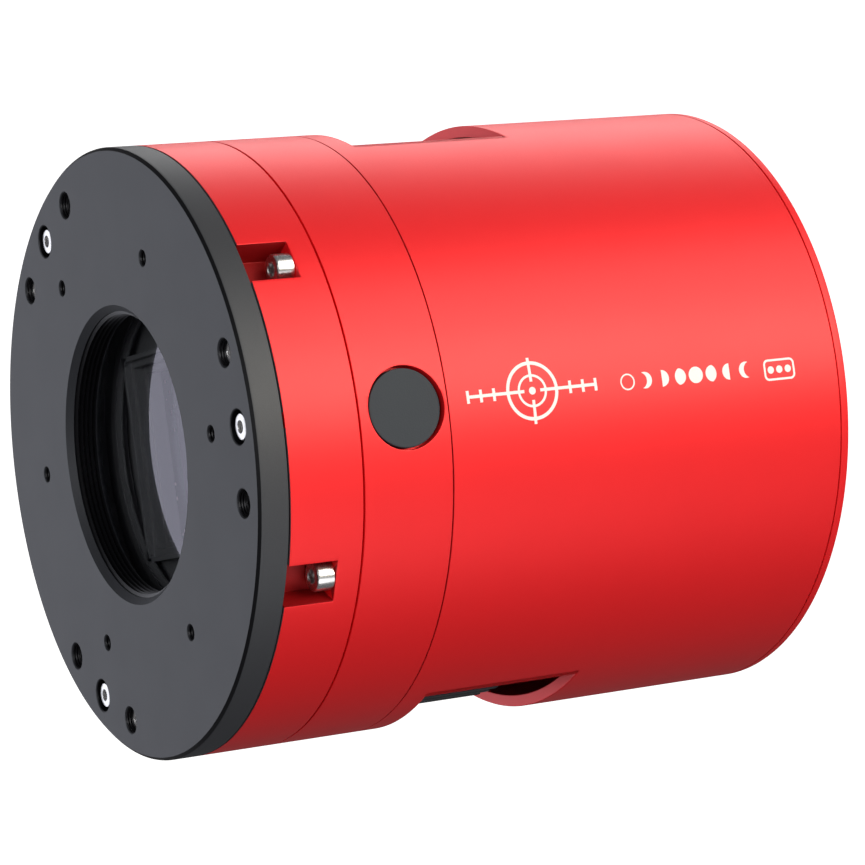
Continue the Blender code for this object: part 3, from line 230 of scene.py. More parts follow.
def turn(name, outline, sides=RING_SIDES, centre=(0.0, 0.0), along="Y"):
    """Draw an outline of (radius, distance) points with extrudes and spin it into a solid.

    The axis runs along Y through x, z = centre, or along X through y, z = centre. An outline that
    starts and ends on the axis stays open there, and any other one is closed before the spin.
    """
    if along == "Y":
        spots = [Vector((centre[0] + radius, at, centre[1])) for radius, at in outline]
        middle, axis = (centre[0], 0.0, centre[1]), (0.0, 1.0, 0.0)
    else:
        spots = [Vector((at, centre[0] + radius, centre[1])) for radius, at in outline]
        middle, axis = (0.0, centre[0], centre[1]), (1.0, 0.0, 0.0)
    bpy.ops.object.select_all(action="DESELECT")
    bpy.ops.mesh.primitive_plane_add(size=MM)
    piece = named(name)
    bpy.ops.object.mode_set(mode="EDIT")
    bpy.ops.mesh.select_all(action="SELECT")
    bpy.ops.mesh.merge(type="CENTER")
    bpy.ops.transform.translate(value=spots[0])
    for last, spot in zip(spots, spots[1:]):
        bpy.ops.mesh.extrude_vertices_move(TRANSFORM_OT_translate={"value": spot - last})
    bpy.ops.mesh.select_all(action="SELECT")
    if outline[0][0] > 0.0:
        bpy.ops.mesh.edge_face_add()
        bpy.ops.mesh.delete(type="ONLY_FACE")
        bpy.ops.mesh.select_all(action="SELECT")
    bpy.ops.mesh.spin(steps=sides, angle=TURN, center=middle, axis=axis)
    bpy.ops.mesh.select_all(action="SELECT")
    bpy.ops.mesh.remove_doubles(threshold=WELD)
    bpy.ops.mesh.normals_make_consistent(inside=False)
    bpy.ops.object.mode_set(mode="OBJECT")
    return piece


def rod(name, radius, start, end, centre=(0.0, 0.0), sides=HOLE_SIDES, along="Y"):
    """Plain cylinder, as a cutter or as a part of a piece."""
    return turn(name, [(0.0, start), (radius, start), (radius, end), (0.0, end)],
                sides, centre, along)


def block(name, low, high, degrees=0.0):
    """Box between two corners, turned round the optical axis."""
    angle = math.radians(degrees)
    middle = (Vector(low) + Vector(high)) / 2
    size = Vector(high) - Vector(low)
    bpy.ops.object.select_all(action="DESELECT")
    bpy.ops.mesh.primitive_cube_add(
        size=1.0, location=Matrix.Rotation(-angle, 4, "Y") @ middle,
        rotation=(0.0, -angle, 0.0), scale=size,
    )
    piece = named(name)
    bpy.ops.object.transform_apply(location=True, rotation=True, scale=True)
    return piece


def pick(piece, wanted):
    """In edit mode, select the sharp edges whose middle point is wanted."""
    bpy.ops.mesh.select_mode(type="EDGE")
    bpy.ops.mesh.select_all(action="DESELECT")
    drawn = bmesh.from_edit_mesh(piece.data)
    for edge in drawn.edges:
        middle = (edge.verts[0].co + edge.verts[1].co) / 2
        bent = len(edge.link_faces) == 2 and edge.calc_face_angle(0.0) > SHARP
        edge.select_set(bool(bent and wanted(middle)))
    bmesh.update_edit_mesh(piece.data)


def soften(piece, wanted, width, segments=2):
    """Bevel the sharp edges whose middle point is wanted."""
    only(piece)
    bpy.ops.object.mode_set(mode="EDIT")
    pick(piece, wanted)
    bpy.ops.mesh.bevel(offset=width, offset_type="OFFSET", segments=segments, affect="EDGES")
    bpy.ops.mesh.select_mode(type="VERT")
    bpy.ops.object.mode_set(mode="OBJECT")


def everywhere(_middle):
    return True


def cut(piece, cutters, operation="DIFFERENCE"):
    """Cut each cutter out of a piece, or join it on, and remove the cutter."""
    for cutter in cutters:
        only(piece)
        modifier = piece.modifiers.new("cut", "BOOLEAN")
        modifier.operation = operation
        modifier.object = cutter
        bpy.ops.object.modifier_apply(modifier=modifier.name)
        bpy.data.objects.remove(cutter)
    only(piece)
    bpy.ops.object.mode_set(mode="EDIT")
    bpy.ops.mesh.select_all(action="SELECT")
    bpy.ops.mesh.remove_doubles(threshold=WELD)
    bpy.ops.object.mode_set(mode="OBJECT")


def gather(name, pieces):
    """Join separate solids into one piece."""
    only(pieces[0])
    for piece in pieces:
        piece.select_set(True)
    bpy.ops.object.join()
    return named(name)


def even_shading(piece):
    """Smooth the round faces, and let the large faces rule the shading at a bevel."""
    only(piece)
    bpy.ops.object.shade_smooth_by_angle(angle=SMOOTH)
    modifier = piece.modifiers.new("even", "WEIGHTED_NORMAL")
    modifier.keep_sharp = True
    bpy.ops.object.modifier_apply(modifier=modifier.name)


def line(piece, material, wanted, place=1):
    """Give the faces whose middle point is wanted another finish."""
    piece.data.materials.append(material)
    for face in piece.data.polygons:
        if wanted(face.center):
            face.material_index = place


def in_the_bore(middle):
    return math.hypot(middle.x, middle.z) < NOTCH_FLOOR - MM


def done(piece, body, material, nodes=()):
    """Shade a piece, give it its finish, tie it to its body and hide the CAD nodes that it stands
    for.
    """
    piece.data.materials.clear()
    piece.data.materials.append(material)
    even_shading(piece)
    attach(piece, body)
    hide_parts(*nodes)
    return piece


# ---- shader helpers -----------------------------------------------------------------------------
class Wire:
    """A shader value that arithmetic can be written with."""

    def __init__(self, finish, socket):
        self.finish = finish
        self.socket = socket

    def maths(self, operation, first, second=0.0):
        return self.finish.node("ShaderNodeMath", {"operation": operation}, {0: first, 1: second})

    def __add__(self, other):
        return self.maths("ADD", self, other)

    def __sub__(self, other):
        return self.maths("SUBTRACT", self, other)

    def __rsub__(self, other):
        return self.maths("SUBTRACT", other, self)

    def __mul__(self, other):
        return self.maths("MULTIPLY", self, other)

    def __gt__(self, other):
        return self.maths("GREATER_THAN", self, other)

    def __lt__(self, other):
        return self.maths("LESS_THAN", self, other)

    def __abs__(self):
        return self.maths("ABSOLUTE", self)

    __radd__ = __add__
    __rmul__ = __mul__


class Finish:
    """A procedural material round one Principled shader."""

    def __init__(self, name, colour, roughness, metallic=0.0, **constants):
        self.material = bpy.data.materials.new(name)
        self.material.use_nodes = True
        self.tree = self.material.node_tree
        self.shader = self.tree.nodes["Principled BSDF"]
        self.set("Base Color", (*colour, 1.0))
        self.set("Roughness", roughness)
        self.set("Metallic", metallic)
        for socket, value in constants.items():
            self.set(socket.replace("_", " "), value)

    def node(self, kind, settings=None, sockets=None, output=0):
        """Add a node: its settings first, then the values or wires of its sockets."""
        made = self.tree.nodes.new(kind)
        for key, value in (settings or {}).items():
            setattr(made, key, value)
        for key, value in (sockets or {}).items():
            self.feed(made.inputs[key], value)
        return Wire(self, made.outputs[output])

    def feed(self, socket, value):
        if isinstance(value, Wire):
            self.tree.links.new(value.socket, socket)
        else:
            socket.default_value = value

    def set(self, name, value):
        self.feed(self.shader.inputs[name], value)

    def place(self):
        """Object coordinates, which are the row frame's metres."""
        return self.node("ShaderNodeTexCoord", output=3)

    def across(self):
        """Object coordinates turned so that a flat pattern lies across the optical axis."""
        return self.node("ShaderNodeMapping",
                         sockets={0: self.place(), 2: (math.pi / 2, 0.0, 0.0)})

    def axes(self):
        """X, Y and Z of the place, as three wires."""
        split = self.node("ShaderNodeSeparateXYZ", sockets={0: self.place()}).socket.node
        return [Wire(self, split.outputs[i]) for i in range(3)]

    def noise(self, size, detail=2.0, stretch=(1.0, 1.0, 1.0)):
        """Soft noise from 0 to 1, whose grains are about one size across."""
        mapped = self.node("ShaderNodeMapping", sockets={0: self.place(), 3: stretch})
        return self.node("ShaderNodeTexNoise",
                         sockets={"Vector": mapped, "Scale": 1.0 / size, "Detail": detail})

    def mix(self, factor, first, second):
        """Mix two colours."""
        first, second = (
            item if isinstance(item, Wire) else (*item, 1.0) for item in (first, second)
        )
        return self.node("ShaderNodeMix", {"data_type": "RGBA"},
                         {0: factor, 6: first, 7: second}, output=2)

    def bump(self, height, depth, strength=1.0):
        """Bump the surface by a height from 0 to 1, of a depth in metres."""
        return self.node("ShaderNodeBump", sockets={"Height": height, "Distance": depth,
                                                    "Strength": strength})


# ---- finishes -----------------------------------------------------------------------------------
def grained(name, colour, roughness, metallic=0.0, grain=(0.3, 3.0), tones=None, rough=None,
            relief=None, **constants):
    """Finish with one grain, given by its size in mm and its detail.

    The grain mixes the two tones, adds its share to the base roughness, and raises the
    surface by a relief in mm with a strength.
    """
    finish = Finish(name, colour, roughness, metallic, **constants)
    size, detail = grain
    noise = finish.noise(size * MM, detail)
    if tones:
        finish.set("Base Color", finish.mix(noise, *tones))
    if rough:
        finish.set("Roughness", rough[0] + noise * rough[1])
    if relief:
        finish.set("Normal", finish.bump(noise, relief[0] * MM, relief[1]))
    return finish.material


def gold(name, colour):
    return grained(name, colour, 0.45, 1.0, (0.4, 2.0), rough=(0.36, 0.2))


def red_anodised():
    """Dyed aluminium: a blasted metal ground under a thin clear oxide."""
    ground = (0.90, 0.006, 0.0105)
    finish = Finish("red anodised aluminium", ground, 0.5, 0.40,
                    Coat_Weight=0.26, Coat_Roughness=0.36, Coat_IOR=1.5)
    cloud = finish.noise(9.0 * MM, 3.0)
    grain = finish.noise(0.16 * MM, 2.0)
    finish.set("Base Color", finish.mix(cloud * 0.5 + grain * 0.35, (0.94, 0.0068, 0.0115),
                                        (0.84, 0.0055, 0.0095)))
    finish.set("Roughness", 0.43 + grain * 0.09 + cloud * 0.03)
    finish.set("Normal", finish.bump(grain, 0.012 * MM, 0.6))
    return finish.material


def black_anodised():
    finish = Finish("black anodised aluminium", (0.04, 0.041, 0.044), 0.5, 0.25)
    cloud = finish.noise(7.0 * MM, 3.0)
    grain = finish.noise(0.14 * MM, 2.0)
    finish.set("Base Color", finish.mix(grain, (0.031, 0.033, 0.039), (0.053, 0.056, 0.065)))
    finish.set("Roughness", 0.44 + grain * 0.12 + cloud * 0.04)
    finish.set("Normal", finish.bump(grain, 0.014 * MM, 0.7))
    return finish.material


def stainless():
    """Bright steel with faint turning marks."""
    finish = Finish("stainless steel", (0.86, 0.85, 0.84), 0.24, 1.0)
    marks = finish.noise(0.12 * MM, 2.0, (1.0, 6.0, 1.0))
    spots = finish.noise(0.6 * MM, 2.0)
    finish.set("Base Color", finish.mix(spots, (0.90, 0.89, 0.88), (0.78, 0.78, 0.78)))
    finish.set("Roughness", 0.17 + marks * 0.16 + spots * 0.06)
    finish.set("Normal", finish.bump(marks, 0.004 * MM, 0.5))
    return finish.material


def thin_glass(name, colour, shine):
    """Clear glass: a tinted mirror that covers only the share of the light it throws back."""
    finish = Finish(name, colour, 0.01, 1.0, Alpha=shine)
    return finish.material


def silicon(half_width, half_height):
    """Sensor die: an iridescent light-sensitive field inside a pale frame."""
    finish = Finish("sensor silicon", (0.05, 0.08, 0.11), 0.12, 0.6, Coat_Weight=0.2,
                    Coat_Roughness=0.03)
    x, z = finish.axes()[::2]
    sensitive = (abs(x) < half_width) * (abs(z) < half_height)
    sheen = finish.noise(6.0 * MM, 1.0)
    field = finish.mix(sheen, (0.035, 0.085, 0.10), (0.075, 0.055, 0.12))
    # painted shade: the pale frame's colour is laid on dark, as the die lies in shade behind the mask
    finish.set("Base Color", finish.mix(sensitive, (0.07, 0.066, 0.056), field))
    finish.set("Roughness", 0.3 - sensitive * 0.18)
    return finish.material


def circuit_board():
    """Green solder mask over copper tracks, with tinned spots."""
    finish = Finish("circuit board", (0.01, 0.09, 0.04), 0.35, 0.0, Coat_Weight=0.4,
                    Coat_Roughness=0.15)
    tracks = finish.node("ShaderNodeTexBrick", {"offset": 0.5},
                         {"Vector": finish.across(), "Scale": 1.0 / (3.2 * MM),
                          "Mortar Size": 0.09, "Mortar Smooth": 0.0}, output=1)
    dots = finish.node("ShaderNodeTexVoronoi", sockets={"Vector": finish.place(),
                                                        "Scale": 1.0 / (1.9 * MM)})
    tin = dots < 0.17
    green = finish.mix(tracks, (0.006, 0.065, 0.028), (0.016, 0.13, 0.055))
    finish.set("Base Color", finish.mix(tin, green, (0.62, 0.60, 0.55)))
    finish.set("Metallic", tin * 0.9)
    finish.set("Normal", finish.bump(tracks, 0.03 * MM, 0.7))
    return finish.material


def aluminium():
    finish = Finish("bare aluminium", (0.72, 0.72, 0.74), 0.3, 1.0)
    marks = finish.noise(0.15 * MM, 2.0, (1.0, 1.0, 9.0))
    finish.set("Roughness", 0.22 + marks * 0.2)
    finish.set("Normal", finish.bump(marks, 0.006 * MM, 0.5))
    return finish.material


def closed_cell_foam():
    finish = Finish("insulating foam", (0.03, 0.03, 0.032), 0.95)
    cells = finish.node("ShaderNodeTexVoronoi", sockets={"Vector": finish.place(),
                                                         "Scale": 1.0 / (0.7 * MM)})
    finish.set("Base Color", finish.mix(cells, (0.045, 0.045, 0.048), (0.016, 0.016, 0.018)))
    finish.set("Normal", finish.bump(cells, 0.12 * MM, 0.8))
    return finish.material


def ribbon_film():
    """Amber film over parallel copper tracks."""
    finish = Finish("ribbon film", (0.55, 0.27, 0.05), 0.32, 0.0, Coat_Weight=0.5)
    z = finish.axes()[2]
    tracks = finish.node("ShaderNodeMath", {"operation": "FRACT"}, {0: z * (1.0 / (0.8 * MM))}) > 0.45
    finish.set("Base Color", finish.mix(tracks, (0.62, 0.33, 0.07), (0.42, 0.17, 0.035)))
    finish.set("Metallic", tracks * 0.4)
    return finish.material


RED = red_anodised()
BLACK = black_anodised()
STEEL = stainless()
# painted shade: the red anodised finish laid on darker inside the notches, where shade falls
NOTCH_SHADE_RED = grained("red anodised aluminium in painted notch shade", (0.40, 0.003, 0.005), 0.5, 0.4, (0.16, 2.0),
                   ((0.44, 0.0034, 0.006), (0.30, 0.002, 0.0035)), relief=(0.012, 0.6))
# painted shade: black anodised laid on near black on the walls of holes, in the thread and on the
# edge round the plate's face
HOLE_SHADE_BLACK = grained("black anodised in painted hole shade", (0.008, 0.008, 0.010), 0.36, 0.5, (0.14, 2.0),
                     rough=(0.30, 0.14))
# a fine spark-eroded face
PLUG = grained("dark moulded plug", (0.020, 0.026, 0.034), 0.62, 0.0, (0.22, 3.0),
               ((0.017, 0.023, 0.032), (0.026, 0.033, 0.044)), (0.55, 0.16), (0.02, 0.8),
               Specular_IOR_Level=0.4)
DARK_STEEL = grained("blackened steel", (0.025, 0.025, 0.027), 0.36, 0.85, (0.5, 3.0),
                     ((0.018, 0.018, 0.020), (0.042, 0.042, 0.044)), (0.28, 0.2))
GLASS = thin_glass("coated window glass", (0.90, 0.87, 1.0), 0.14)
CLEAR_GLASS = thin_glass("clear window glass", (0.80, 0.84, 1.0), 0.02)
SENSOR_GLASS = thin_glass("sensor glass", (0.5, 0.7, 1.0), 0.05)
MATT = grained("matt black paint", (0.10, 0.105, 0.11), 0.5, 0.0, (0.25, 3.0),
               ((0.085, 0.09, 0.10), (0.13, 0.135, 0.145)), (0.40, 0.2), (0.015, 0.6))
RUBBER = grained("seal rubber", (0.014, 0.014, 0.014), 0.7, 0.0, (0.4, 2.0), rough=(0.6, 0.2),
                 relief=(0.01, 0.5))
CERAMIC = grained("dark ceramic", (0.035, 0.034, 0.036), 0.5, 0.0, (0.3, 3.0),
                  ((0.028, 0.027, 0.029), (0.05, 0.049, 0.051)), (0.42, 0.15))
BOARD = circuit_board()
ALUMINA = grained("white alumina", (0.82, 0.82, 0.80), 0.5, 0.0, (0.5, 3.0),
                  ((0.84, 0.84, 0.82), (0.74, 0.74, 0.72)), (0.42, 0.15))
TABLET = grained("drying tablet", (0.86, 0.84, 0.78), 0.9, 0.0, (0.45, 4.0),
                 ((0.90, 0.88, 0.82), (0.70, 0.67, 0.58)), relief=(0.06, 0.8))
PLASTIC = grained("black moulded plastic", (0.018, 0.018, 0.020), 0.45, rough=(0.38, 0.2),
                  relief=(0.012, 0.6))
BLUE_PLASTIC = grained("blue moulded plastic", (0.02, 0.10, 0.42), 0.4, rough=(0.34, 0.2))
PRINT = grained("white print", (0.84, 0.83, 0.82), 0.55, 0.0, (0.2, 2.0),
                ((0.88, 0.87, 0.86), (0.76, 0.75, 0.74)))
GOLD = gold("gold plating", (0.60, 0.42, 0.16))
# painted shade: the pads' gold laid on dark, as they lie in shade deep in the sensor's pocket
PAD = gold("bond pad gold in painted shade", (0.10, 0.08, 0.05))


# ---- screws -------------------------------------------------------------------------------------
def hex_cutter(flats, mouth, bottom, centre):
    """Hexagonal hole with a small countersink at its mouth."""
    corner = flats / math.sqrt(3)
    way = 1.0 if bottom > mouth else -1.0
    lead = 0.12 * MM
    hole = turn("hexagon", [(0.0, mouth - way * OVERCUT), (corner, mouth - way * OVERCUT),
                            (corner, bottom), (0.0, bottom + way * corner / 2)], 6, centre)
    sink = turn("countersink", [(0.0, mouth - way * OVERCUT),
                                (corner + lead / 2 + OVERCUT, mouth - way * OVERCUT),
                                (corner + lead / 2, mouth),
                                (corner - lead, mouth + way * lead * 1.5),
                                (0.0, mouth + way * lead * 1.5)], HOLE_SIDES, centre)
    return [hole, sink]


def cap_screw(name, node, head, towards_rear=True, seat=None):
    """Socket-head screw where the frame has it, with a rounded head and a threaded shank.

    The head ends at the seat, where one is given.
    """
    radius, height, flats = head
    low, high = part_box(node)
    centre = ((low.x + high.x) / 2, (low.z + high.z) / 2)
    face, tip = (low.y, high.y) if towards_rear else (high.y, low.y)
    if seat is not None:
        face = seat - height
    way = 1.0 if towards_rear else -1.0
    edge = 0.14 * radius
    shank = 0.52 * radius
    outline = [(0.0, face), (radius - 1.6 * edge, face), (radius - 0.5 * edge, face + way * edge / 3),
               (radius, face + way * edge * 1.2), (radius, face + way * (height - edge / 2)),
               (radius - edge / 2, face + way * height), (shank, face + way * height)]
    outline += thread(shank, face + way * (height + edge), tip - way * edge, 0.4 * MM, -0.1 * MM)
    outline += [(shank - edge, tip), (0.0, tip)]
    screw = turn(name, outline, SCREW_SIDES, centre)
    cut(screw, hex_cutter(flats, face, face + way * 0.6 * height, centre))
    return screw


def thread(radius, start, end, pitch, depth):
    """Outline points of thread ridges from start to end: at the radius, and depth beyond it."""
    turns = max(1, round(abs(end - start) / pitch))
    step = (end - start) / turns
    points = []
    for i in range(turns):
        at = start + step * i
        points += [(radius, at), (radius, at + 0.2 * step),
                   (radius + depth, at + 0.55 * step), (radius + depth, at + 0.65 * step)]
    return points + [(radius, end)]


def make_screws():
    for number in (1, 2, 3):
        body = "pull_adjuster" if number == 1 else "camera"
        node = f"pull_screw_{number}"
        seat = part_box(node)[0].y + M2_HEAD[1] - PULL_HEAD_RISE
        done(cap_screw(f"pull_screw_head_{number}", node, M2_HEAD, seat=seat), body, STEEL,
             [node])
        for letter, material, slot in (("a", STEEL, "stainless"),
                                       ("b", DARK_STEEL, "black_steel")):
            body = f"push_adjuster_{letter}" if number == 1 else "plate"
            node = f"push_screw_{number}{letter}"
            done(set_screw(f"push_screw_tip_{number}{letter}", node), body, material, [node])
    for number in (1, 2, 3, 4):
        node = f"housing_screw_{number}"
        done(cap_screw(f"notch_bolt_{number}", node, NOTCH_HEAD, seat=NOTCH_END), "camera",
             STEEL, [node])
        node = f"rear_screw_{number}"
        done(cap_screw(f"rear_bolt_{number}", node, M25_HEAD, False), "camera", STEEL, [node])
        node = f"fan_screw_{number}"
        done(cap_screw(f"fan_bolt_{number}", node, M3_HEAD, False), "camera", DARK_STEEL, [node])


def set_screw(name, node):
    """Headless screw with a hexagonal hole and a rounded tip."""
    low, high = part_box(node)
    centre = ((low.x + high.x) / 2, (low.z + high.z) / 2)
    radius, edge = PUSH_SCREW_RADIUS, 0.2 * MM
    outline = [(0.0, low.y), (radius - edge, low.y)]
    outline += thread(radius, low.y + edge, high.y - 3 * edge, 0.5 * MM, -0.12 * MM)
    outline += [(radius - 2 * edge, high.y - edge / 2), (radius / 2, high.y), (0.0, high.y)]
    screw = turn(name, outline, SCREW_SIDES, centre)
    cut(screw, hex_cutter(PUSH_SCREW_HEX, low.y, low.y + 1.5 * MM, centre))
    return screw


# ---- tilt plate ---------------------------------------------------------------------------------
def drill(radius, depth, centre, bite=0.0):
    """Hole from the plate's face with a chamfered mouth, threaded where it has a bite."""
    outline = [(0.0, -OVERCUT), (radius + HOLE_CHAMFER + OVERCUT, -OVERCUT)]
    if bite:
        outline += thread(radius, HOLE_CHAMFER, depth, SMALL_THREAD_PITCH, -bite)
    else:
        outline += [(radius, HOLE_CHAMFER), (radius, depth)]
    outline.append((0.0, depth + radius / 3))
    return turn("drill", outline, HOLE_SIDES, centre)


def make_plate():
    root = THREAD_CREST + THREAD_DEPTH
    through = PLATE_REAR + OVERCUT
    outline = [
        (MOUTH_RADIUS, 0.0),
        (BODY_RADIUS - PLATE_CHAMFER, 0.0),
        (BODY_RADIUS - PLATE_CHAMFER / 8, PLATE_CHAMFER * 0.75),
        (BODY_RADIUS, PLATE_CHAMFER * 1.25),
        (BODY_RADIUS, PLATE_REAR - SEAM_CHAMFER),
        (BODY_RADIUS - SEAM_CHAMFER, PLATE_REAR),
        (PLATE_BOSS_RADIUS, PLATE_REAR),
        (PLATE_BOSS_RADIUS, PLATE_BOSS_REAR),
    ]
    outline += thread(root, PLATE_BOSS_REAR, MOUTH_DEPTH + THREAD_DEPTH / 2, THREAD_PITCH,
                      -THREAD_DEPTH)
    outline.append((MOUTH_RADIUS - MOUTH_DEPTH, MOUTH_DEPTH))
    plate = turn("machined_plate", outline, BODY_SIDES)
    holes = []
    for angle in ADJUSTER_ANGLES:
        at = round_the_axis(ADJUSTER_RADIUS, angle)
        holes.append(drill(COUNTERBORE_RADIUS, COUNTERBORE_DEPTH, at))
        holes.append(rod("shank_hole", SHANK_HOLE_RADIUS, OVERCUT, through, at))
        for side in (-PUSH_SPREAD, PUSH_SPREAD):
            at = round_the_axis(ADJUSTER_RADIUS, angle + side)
            holes.append(drill(PUSH_HOLE_RADIUS, through, at, SMALL_THREAD_DEPTH))
    for i in range(ACCESSORY_HOLES):
        at = round_the_axis(ACCESSORY_CIRCLE_RADIUS, 360.0 / ACCESSORY_HOLES * i)
        holes.append(drill(ACCESSORY_HOLE_RADIUS, ACCESSORY_HOLE_DEPTH, at, SMALL_THREAD_DEPTH))
    cut(plate, holes)
    done(plate, "plate", BLACK, ["tilt_plate"])

    def in_painted_shade(middle):
        """Painted shade on the walls of the holes, the ridges of the thread and the edge round the
        face.
        """
        radius = math.hypot(middle.x, middle.z)
        if radius > BODY_RADIUS - PLATE_CHAMFER:
            return 0.0 < middle.y < PLATE_CHAMFER / 2
        on_cone = MOUTH_RADIUS - MOUTH_DEPTH + THREAD_DEPTH / 8 < radius < MOUTH_RADIUS
        walls = 1.5 * HOLE_CHAMFER < middle.y < PLATE_REAR - SEAM_CHAMFER
        return walls and radius < BODY_RADIUS - 2 * MM and not on_cone

    # painted shade: these faces take the near-black finish
    line(plate, HOLE_SHADE_BLACK, in_painted_shade)


# ---- housings -----------------------------------------------------------------------------------
def in_notch(middle):
    """True on the rim and in the inside of a screw notch."""
    radius = math.hypot(middle.x, middle.z)
    angle = math.degrees(math.atan2(middle.z, middle.x)) % 180.0
    sideways = radius * math.radians(min(abs(angle - at) for at in NOTCH_ANGLES[:2]))
    deep = NOTCH_FLOOR - NEAR < radius
    return deep and sideways < NOTCH_WIDTH / 2 + 0.2 * MM and middle.y < NOTCH_END + NEAR


def make_front_shell():
    edge = SEAM_CHAMFER
    outline = [
        (WINDOW_POCKET_RADIUS + edge, HOUSING_FRONT),
        (BODY_RADIUS - edge, HOUSING_FRONT),
        (BODY_RADIUS, HOUSING_FRONT + edge),
        (BODY_RADIUS, NOTCH_END + RING_GAP),
        (BODY_RADIUS, HOUSING_REAR - edge),
        (BODY_RADIUS - edge, HOUSING_REAR),
        (SPIGOT_SEAT_RADIUS, HOUSING_REAR),
        (SPIGOT_SEAT_RADIUS, SPIGOT_SEAT),
        (FRONT_CHAMBER_RADIUS, SPIGOT_SEAT),
        (FRONT_CHAMBER_RADIUS, SHELF_REAR),
        (SHELF_RADIUS, SHELF_REAR),
        (SHELF_RADIUS, SHELF_FRONT),
        (WINDOW_POCKET_RADIUS, SHELF_FRONT),
        (WINDOW_POCKET_RADIUS, HOUSING_FRONT + edge),
    ]
    shell = turn("front_shell", outline, BODY_SIDES)
    notches = [
        block("notch", (NOTCH_FLOOR, HOUSING_FRONT - OVERCUT, -NOTCH_WIDTH / 2),
              (BODY_RADIUS + OVERCUT, NOTCH_END, NOTCH_WIDTH / 2), angle)
        for angle in NOTCH_ANGLES
    ]
    cut(shell, notches)
    soften(shell, in_notch, EDGE_BREAK)
    holes = [
        rod("screw_hole", SHANK_HOLE_RADIUS, NOTCH_END - OVERCUT, HOUSING_REAR + OVERCUT,
            round_the_axis(NOTCH_SCREW_RADIUS, angle))
        for angle in NOTCH_ANGLES
    ]
    holes += [
        rod("tapped_hole", SHANK_HOLE_RADIUS, HOUSING_FRONT - OVERCUT, 2 * HOUSING_FRONT,
            round_the_axis(ADJUSTER_RADIUS, angle))
        for angle in ADJUSTER_ANGLES
    ]
    cut(shell, holes)
    done(shell, "camera", RED, ["front_housing"])
    line(shell, MATT, in_the_bore)
    # painted shade: the notches' inner walls and floors take the darker red
    line(shell, NOTCH_SHADE_RED, lambda middle: in_notch(middle) and HOUSING_FRONT < middle.y < NOTCH_END
         and math.hypot(middle.x, middle.z) < BODY_RADIUS - NEAR, 2)


def make_middle_shell():
    edge = SEAM_CHAMFER
    outline = [
        (CHAMBER_RADIUS, SPIGOT_FRONT),
        (SPIGOT_RADIUS - edge, SPIGOT_FRONT),
        (SPIGOT_RADIUS, SPIGOT_FRONT + edge),
        (SPIGOT_RADIUS, MIDDLE_FRONT),
        (BODY_RADIUS - edge, MIDDLE_FRONT),
        (BODY_RADIUS, MIDDLE_FRONT + edge),
        (BODY_RADIUS, PORT_AXIS - PORT_RADIUS - RING_GAP),
        (BODY_RADIUS, PORT_AXIS + PORT_RADIUS + RING_GAP),
        (BODY_RADIUS, MIDDLE_REAR - edge),
        (BODY_RADIUS - edge, MIDDLE_REAR),
        (CHAMBER_RADIUS, MIDDLE_REAR),
    ]
    shell = turn("middle_shell", outline, BODY_SIDES)
    stepped = [(0.0, CHAMBER_RADIUS - 2 * OVERCUT), (PORT_BORE_RADIUS, CHAMBER_RADIUS - 2 * OVERCUT),
               (PORT_BORE_RADIUS, PORT_SEAT), (PORT_RADIUS, PORT_SEAT),
               (PORT_RADIUS, BODY_RADIUS + OVERCUT), (0.0, BODY_RADIUS + OVERCUT)]
    cut(shell, [turn("port", stepped, RING_SIDES, (PORT_AXIS, 0.0), "X")])
    rim = PORT_RADIUS + 0.05 * MM

    def on_port_rim(middle):
        return middle.x > PORT_SEAT + MM and math.hypot(middle.y - PORT_AXIS, middle.z) < rim

    soften(shell, on_port_rim, BREAK)
    done(shell, "camera", RED, ["middle_housing"])
    line(shell, MATT, in_the_bore)


def make_plug():
    low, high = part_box("port_plug")
    seat = PORT_SEAT + PLUG_LIFT
    gap, width, depth = SEAL_GROOVE
    groove, floor = seat - gap, PLUG_STEM_RADIUS - depth
    edge = 0.15 * MM
    outline = [
        (0.0, low.x), (PLUG_STEM_RADIUS - edge, low.x), (PLUG_STEM_RADIUS, low.x + edge),
        (PLUG_STEM_RADIUS, groove - width), (floor, groove - width), (floor, groove),
        (PLUG_STEM_RADIUS, groove), (PLUG_STEM_RADIUS, seat), (PLUG_RADIUS, seat),
        (PLUG_RADIUS, high.x - 1.5 * edge), (PLUG_RADIUS - 0.4 * edge, high.x - 0.4 * edge),
        (PLUG_RADIUS - 1.5 * edge, high.x), (0.0, high.x),
    ]
    plug = turn("plug_cap", outline, RING_SIDES, (PORT_AXIS, 0.0), "X")
    done(plug, "plug", PLUG, ["port_plug"])


# ---- window, mask and sensor --------------------------------------------------------------------
def make_window():
    low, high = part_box("window_glass")
    radius, edge = high.z, 0.2 * MM
    pane = turn("window_pane", [(0.0, low.y), (radius - edge, low.y), (radius, low.y + edge),
                                (radius, high.y - edge), (radius - edge, high.y), (0.0, high.y)])
    done(pane, "camera", GLASS, ["window_glass"])
    line(pane, CLEAR_GLASS, lambda middle: middle.y > low.y + edge / 4)
    inner, outer = CLAMP_BORE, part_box("window_retaining_ring")[1].z
    ring = turn("window_clamp_ring", [
        (inner, RETAINER_FRONT + edge), (inner + edge, RETAINER_FRONT),
        (outer - edge, RETAINER_FRONT), (outer, RETAINER_FRONT + edge), (outer, RETAINER_REAR),
        (inner, RETAINER_REAR)])
    middle = (inner + outer) / 2
    half_width, half_length, depth = SPANNER_SLOT
    slots = [
        block("spanner_slot", (-half_width, RETAINER_FRONT - OVERCUT, side * middle - half_length),
              (half_width, RETAINER_FRONT + depth, side * middle + half_length))
        for side in (-1, 1)
    ]
    cut(ring, slots)
    done(ring, "camera", BLACK, ["window_retaining_ring"])


